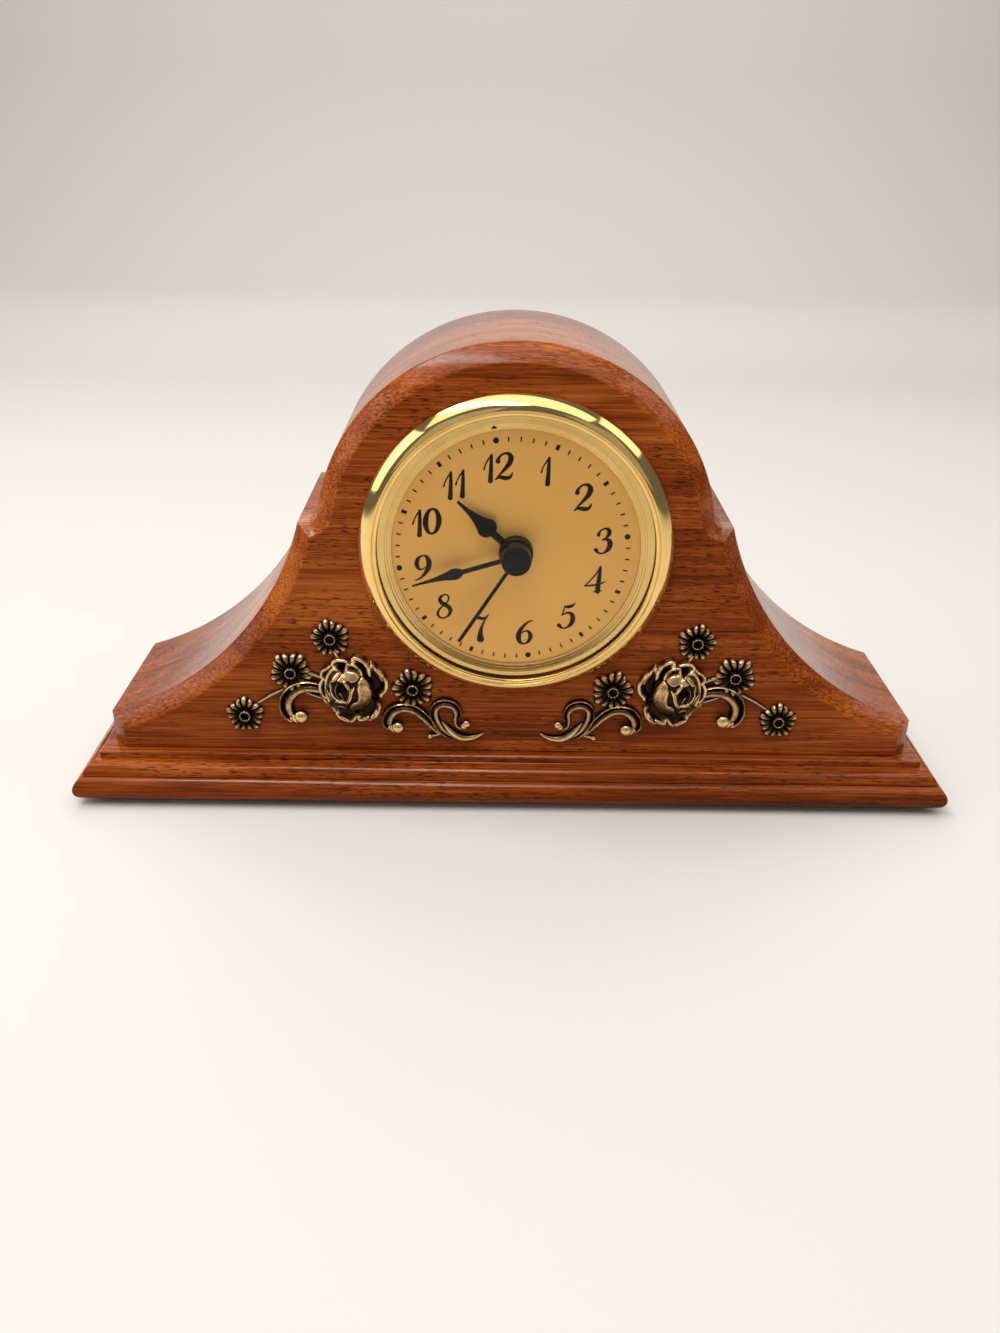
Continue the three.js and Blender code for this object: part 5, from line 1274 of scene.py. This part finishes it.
class CLOCK_OT_hands(bpy.types.Operator):
    """Black hour, minute and second hands with their hubs"""

    bl_idname = "clock.hands"
    bl_label = "Hands"

    def execute(self, context):
        black = plain_finish("black_lacquer", (0.006, 0.0045, 0.004, 1), 0.26, scale=700, mottle=0.2,
                             shine=0.2)
        cap = plain_finish("cap_black", (0.008, 0.007, 0.006, 1), 0.30, scale=500, mottle=0.2, shine=0.12)
        for body, angle, hub, blade, lift in HANDS:
            node = f"{body}_hand"
            form = hand_form(angle, hub_profile(node, *hub, HUB_EASE), blade_outline(*blade),
                             depth_of(node)[0] + lift)
            soften(piece(f"{node}_black", form, DIAL_AXIS, body, black, [node]), HAND_EASE)
        second = hand_form(SECOND_ANGLE, hub_profile("second_hand", 0, 4.2, 0.5, 7), pointer_outline(),
                           SECOND_BLADE, SECOND_DROP)
        soften(piece("second_hand_black", second, DIAL_AXIS, "second", cap,
                     ["second_hand"]), CAP_EASE)
        nut = turned_form(hub_profile("fixing_nut", BUSH_RADIUS, 4.9, 0.2), 96)
        piece("fixing_nut_black", nut, DIAL_AXIS, "insert", black, ["fixing_nut"])
        return {"FINISHED"}


class CLOCK_OT_movement(bpy.types.Operator):
    """Sleeve, movement, knob and cell, seen from behind, and what is inside"""

    bl_idname = "clock.movement"
    bl_label = "Movement"

    def execute(self, context):
        plastic = plain_finish("black_plastic", (0.016, 0.016, 0.017, 1), 0.48, scale=1400)
        steel = plain_finish("cell_steel", (0.56, 0.56, 0.55, 1), 0.24, metal=1.0, scale=900)
        piece("sleeve_black", sleeve_form(), DIAL_AXIS, "insert", plastic,
              ["insert_sleeve"])
        soften(piece("movement_cover_black", cover_form(), DIAL_AXIS, "insert", plastic,
                     ["movement_cover"]), COVER_EASE)
        soften(piece("setting_knob_black", knob_form(), DIAL_AXIS, "setting", plastic,
                     ["setting_knob"]), KNOB_EASE)
        piece("button_cell_steel", cell_form(), DIAL_AXIS, "cell", steel, ["button_cell"])
        nylon = plain_finish("wheel_nylon", (0.74, 0.72, 0.65, 1), 0.45, scale=1200, mottle=0.05)
        dress(nylon, "hour_wheel", "cannon_arbor", "minute_wheel", "centre_wheel", "third_wheel",
              "second_wheel", "intermediate_wheel", "rotor")
        dress(steel, *(f"cover_screw_{k}" for k in (1, 2, 3)), "base_screw_left", "base_screw_right",
              "clutch_spring", "stator", "crystal", "contact_negative", "contact_positive")
        dress(plastic, "movement_case", "chip_cover")
        for node, name, colour, rough, metal, scale in (
                ("rotor_magnet", "magnet_grey", (0.05, 0.05, 0.055, 1), 0.5, 0.6, 1200),
                ("coil", "coil_copper", (0.52, 0.2, 0.07, 1), 0.35, 0.9, 2500),
                ("circuit_board", "board_green", (0.02, 0.14, 0.05, 1), 0.4, 0.0, 800)):
            dress(plain_finish(name, colour, rough, metal, scale), node)
        return {"FINISHED"}


class CLOCK_OT_stage(bpy.types.Operator):
    """Pale floor, soft lights and the camera"""

    bl_idname = "clock.stage"
    bl_label = "Stage"

    def execute(self, context):
        scene, look = context.scene, context.scene.clock_stage
        curve = [(BEND_START + BEND_RADIUS * sin(a), BEND_RADIUS * (1 - cos(a)))
                 for a in np.linspace(0, pi / 2, 25)]
        line = [(FLOOR_FRONT, 0), (0.0, 0), *curve, (BEND_START + BEND_RADIUS, BACKDROP_TOP)]
        points = [(x, y, z) for y, z in line for x in (-FLOOR_HALF, FLOOR_HALF)]
        faces = [(2 * i, 2 * i + 1, 2 * i + 3, 2 * i + 2) for i in range(len(line) - 1)]
        mesh = bpy.data.meshes.new("floor")
        mesh.from_pydata(points, [], faces)
        mesh.shade_smooth()
        mesh.materials.append(floor_finish("pale_floor", look.floor[:], look.bounce[:]))
        floor = new_object("floor", mesh)
        studio = Finish("studio", "worlds")
        light = studio.node("ShaderNodeBackground", {}, {"Color": SKY_COLOUR, "Strength": look.sky})
        scene.world = studio.done(light, "ShaderNodeOutputWorld")
        for name, place, target, size, power, colour in LAMPS:
            light = bpy.data.lights.new(name, "AREA")
            light.shape = "RECTANGLE"
            light.size, light.size_y = size
            light.energy = power
            light.color = colour
            lamp = new_object(name, light)
            lamp.location = place
            lamp.rotation_euler = (Vector(target) - Vector(place)).to_track_quat("-Z", "Y").to_euler()
            lamp.visible_camera = False
        camera = new_object("camera", bpy.data.cameras.new("camera"))
        camera.data.sensor_fit = "VERTICAL"
        camera.data.sensor_height = SENSOR_HEIGHT
        camera.data.lens = look.lens
        camera.data.clip_start = 0.01
        facing = (Matrix.Rotation(look.yaw, 3, "Z") @ Matrix.Rotation(pi / 2 - look.pitch, 3, "X")
                  @ Matrix.Rotation(look.roll, 3, "Z"))
        camera.matrix_world = Matrix.Translation(CAMERA_PLACE) @ facing.to_4x4()
        scene.camera = camera
        scene.view_settings.view_transform = "Standard"
        return {"FINISHED"}


class CLOCK_PT_sidebar(bpy.types.Panel):
    """Lists the clock's pieces and settings"""

    bl_idname = "CLOCK_PT_sidebar"
    bl_label = "Mantel clock"
    bl_space_type = "VIEW_3D"
    bl_region_type = "UI"
    bl_category = "Clock"

    def draw(self, context):
        for operator in OPERATORS:
            self.layout.operator(operator.bl_idname)
        for name, group in SETTINGS.items():
            box = self.layout.box()
            for key in group.__annotations__:
                box.prop(getattr(context.scene, name), key)


SETTINGS = {
    "clock_wood": WoodSettings,
    "clock_metal": MetalSettings,
    "clock_dial": DialSettings,
    "clock_stage": StageSettings,
}
OPERATORS = (CLOCK_OT_case, CLOCK_OT_plinth, CLOCK_OT_sprays, CLOCK_OT_insert, CLOCK_OT_dial,
             CLOCK_OT_hands, CLOCK_OT_movement, CLOCK_OT_stage)
CLASSES = (*SETTINGS.values(), *OPERATORS, CLOCK_PT_sidebar)


def register():
    for group in CLASSES:
        bpy.utils.register_class(group)
    for name, group in SETTINGS.items():
        setattr(bpy.types.Scene, name, PointerProperty(type=group))


def unregister():
    for name in SETTINGS:
        delattr(bpy.types.Scene, name)
    for group in reversed(CLASSES):
        bpy.utils.unregister_class(group)


def main():
    register()
    bpy.ops.clock.case()
    bpy.ops.clock.plinth()
    bpy.ops.clock.sprays()
    bpy.ops.clock.insert()
    bpy.ops.clock.dial()
    bpy.ops.clock.hands()
    bpy.ops.clock.movement()
    bpy.ops.clock.stage()


if __name__ == "__main__":
    main()
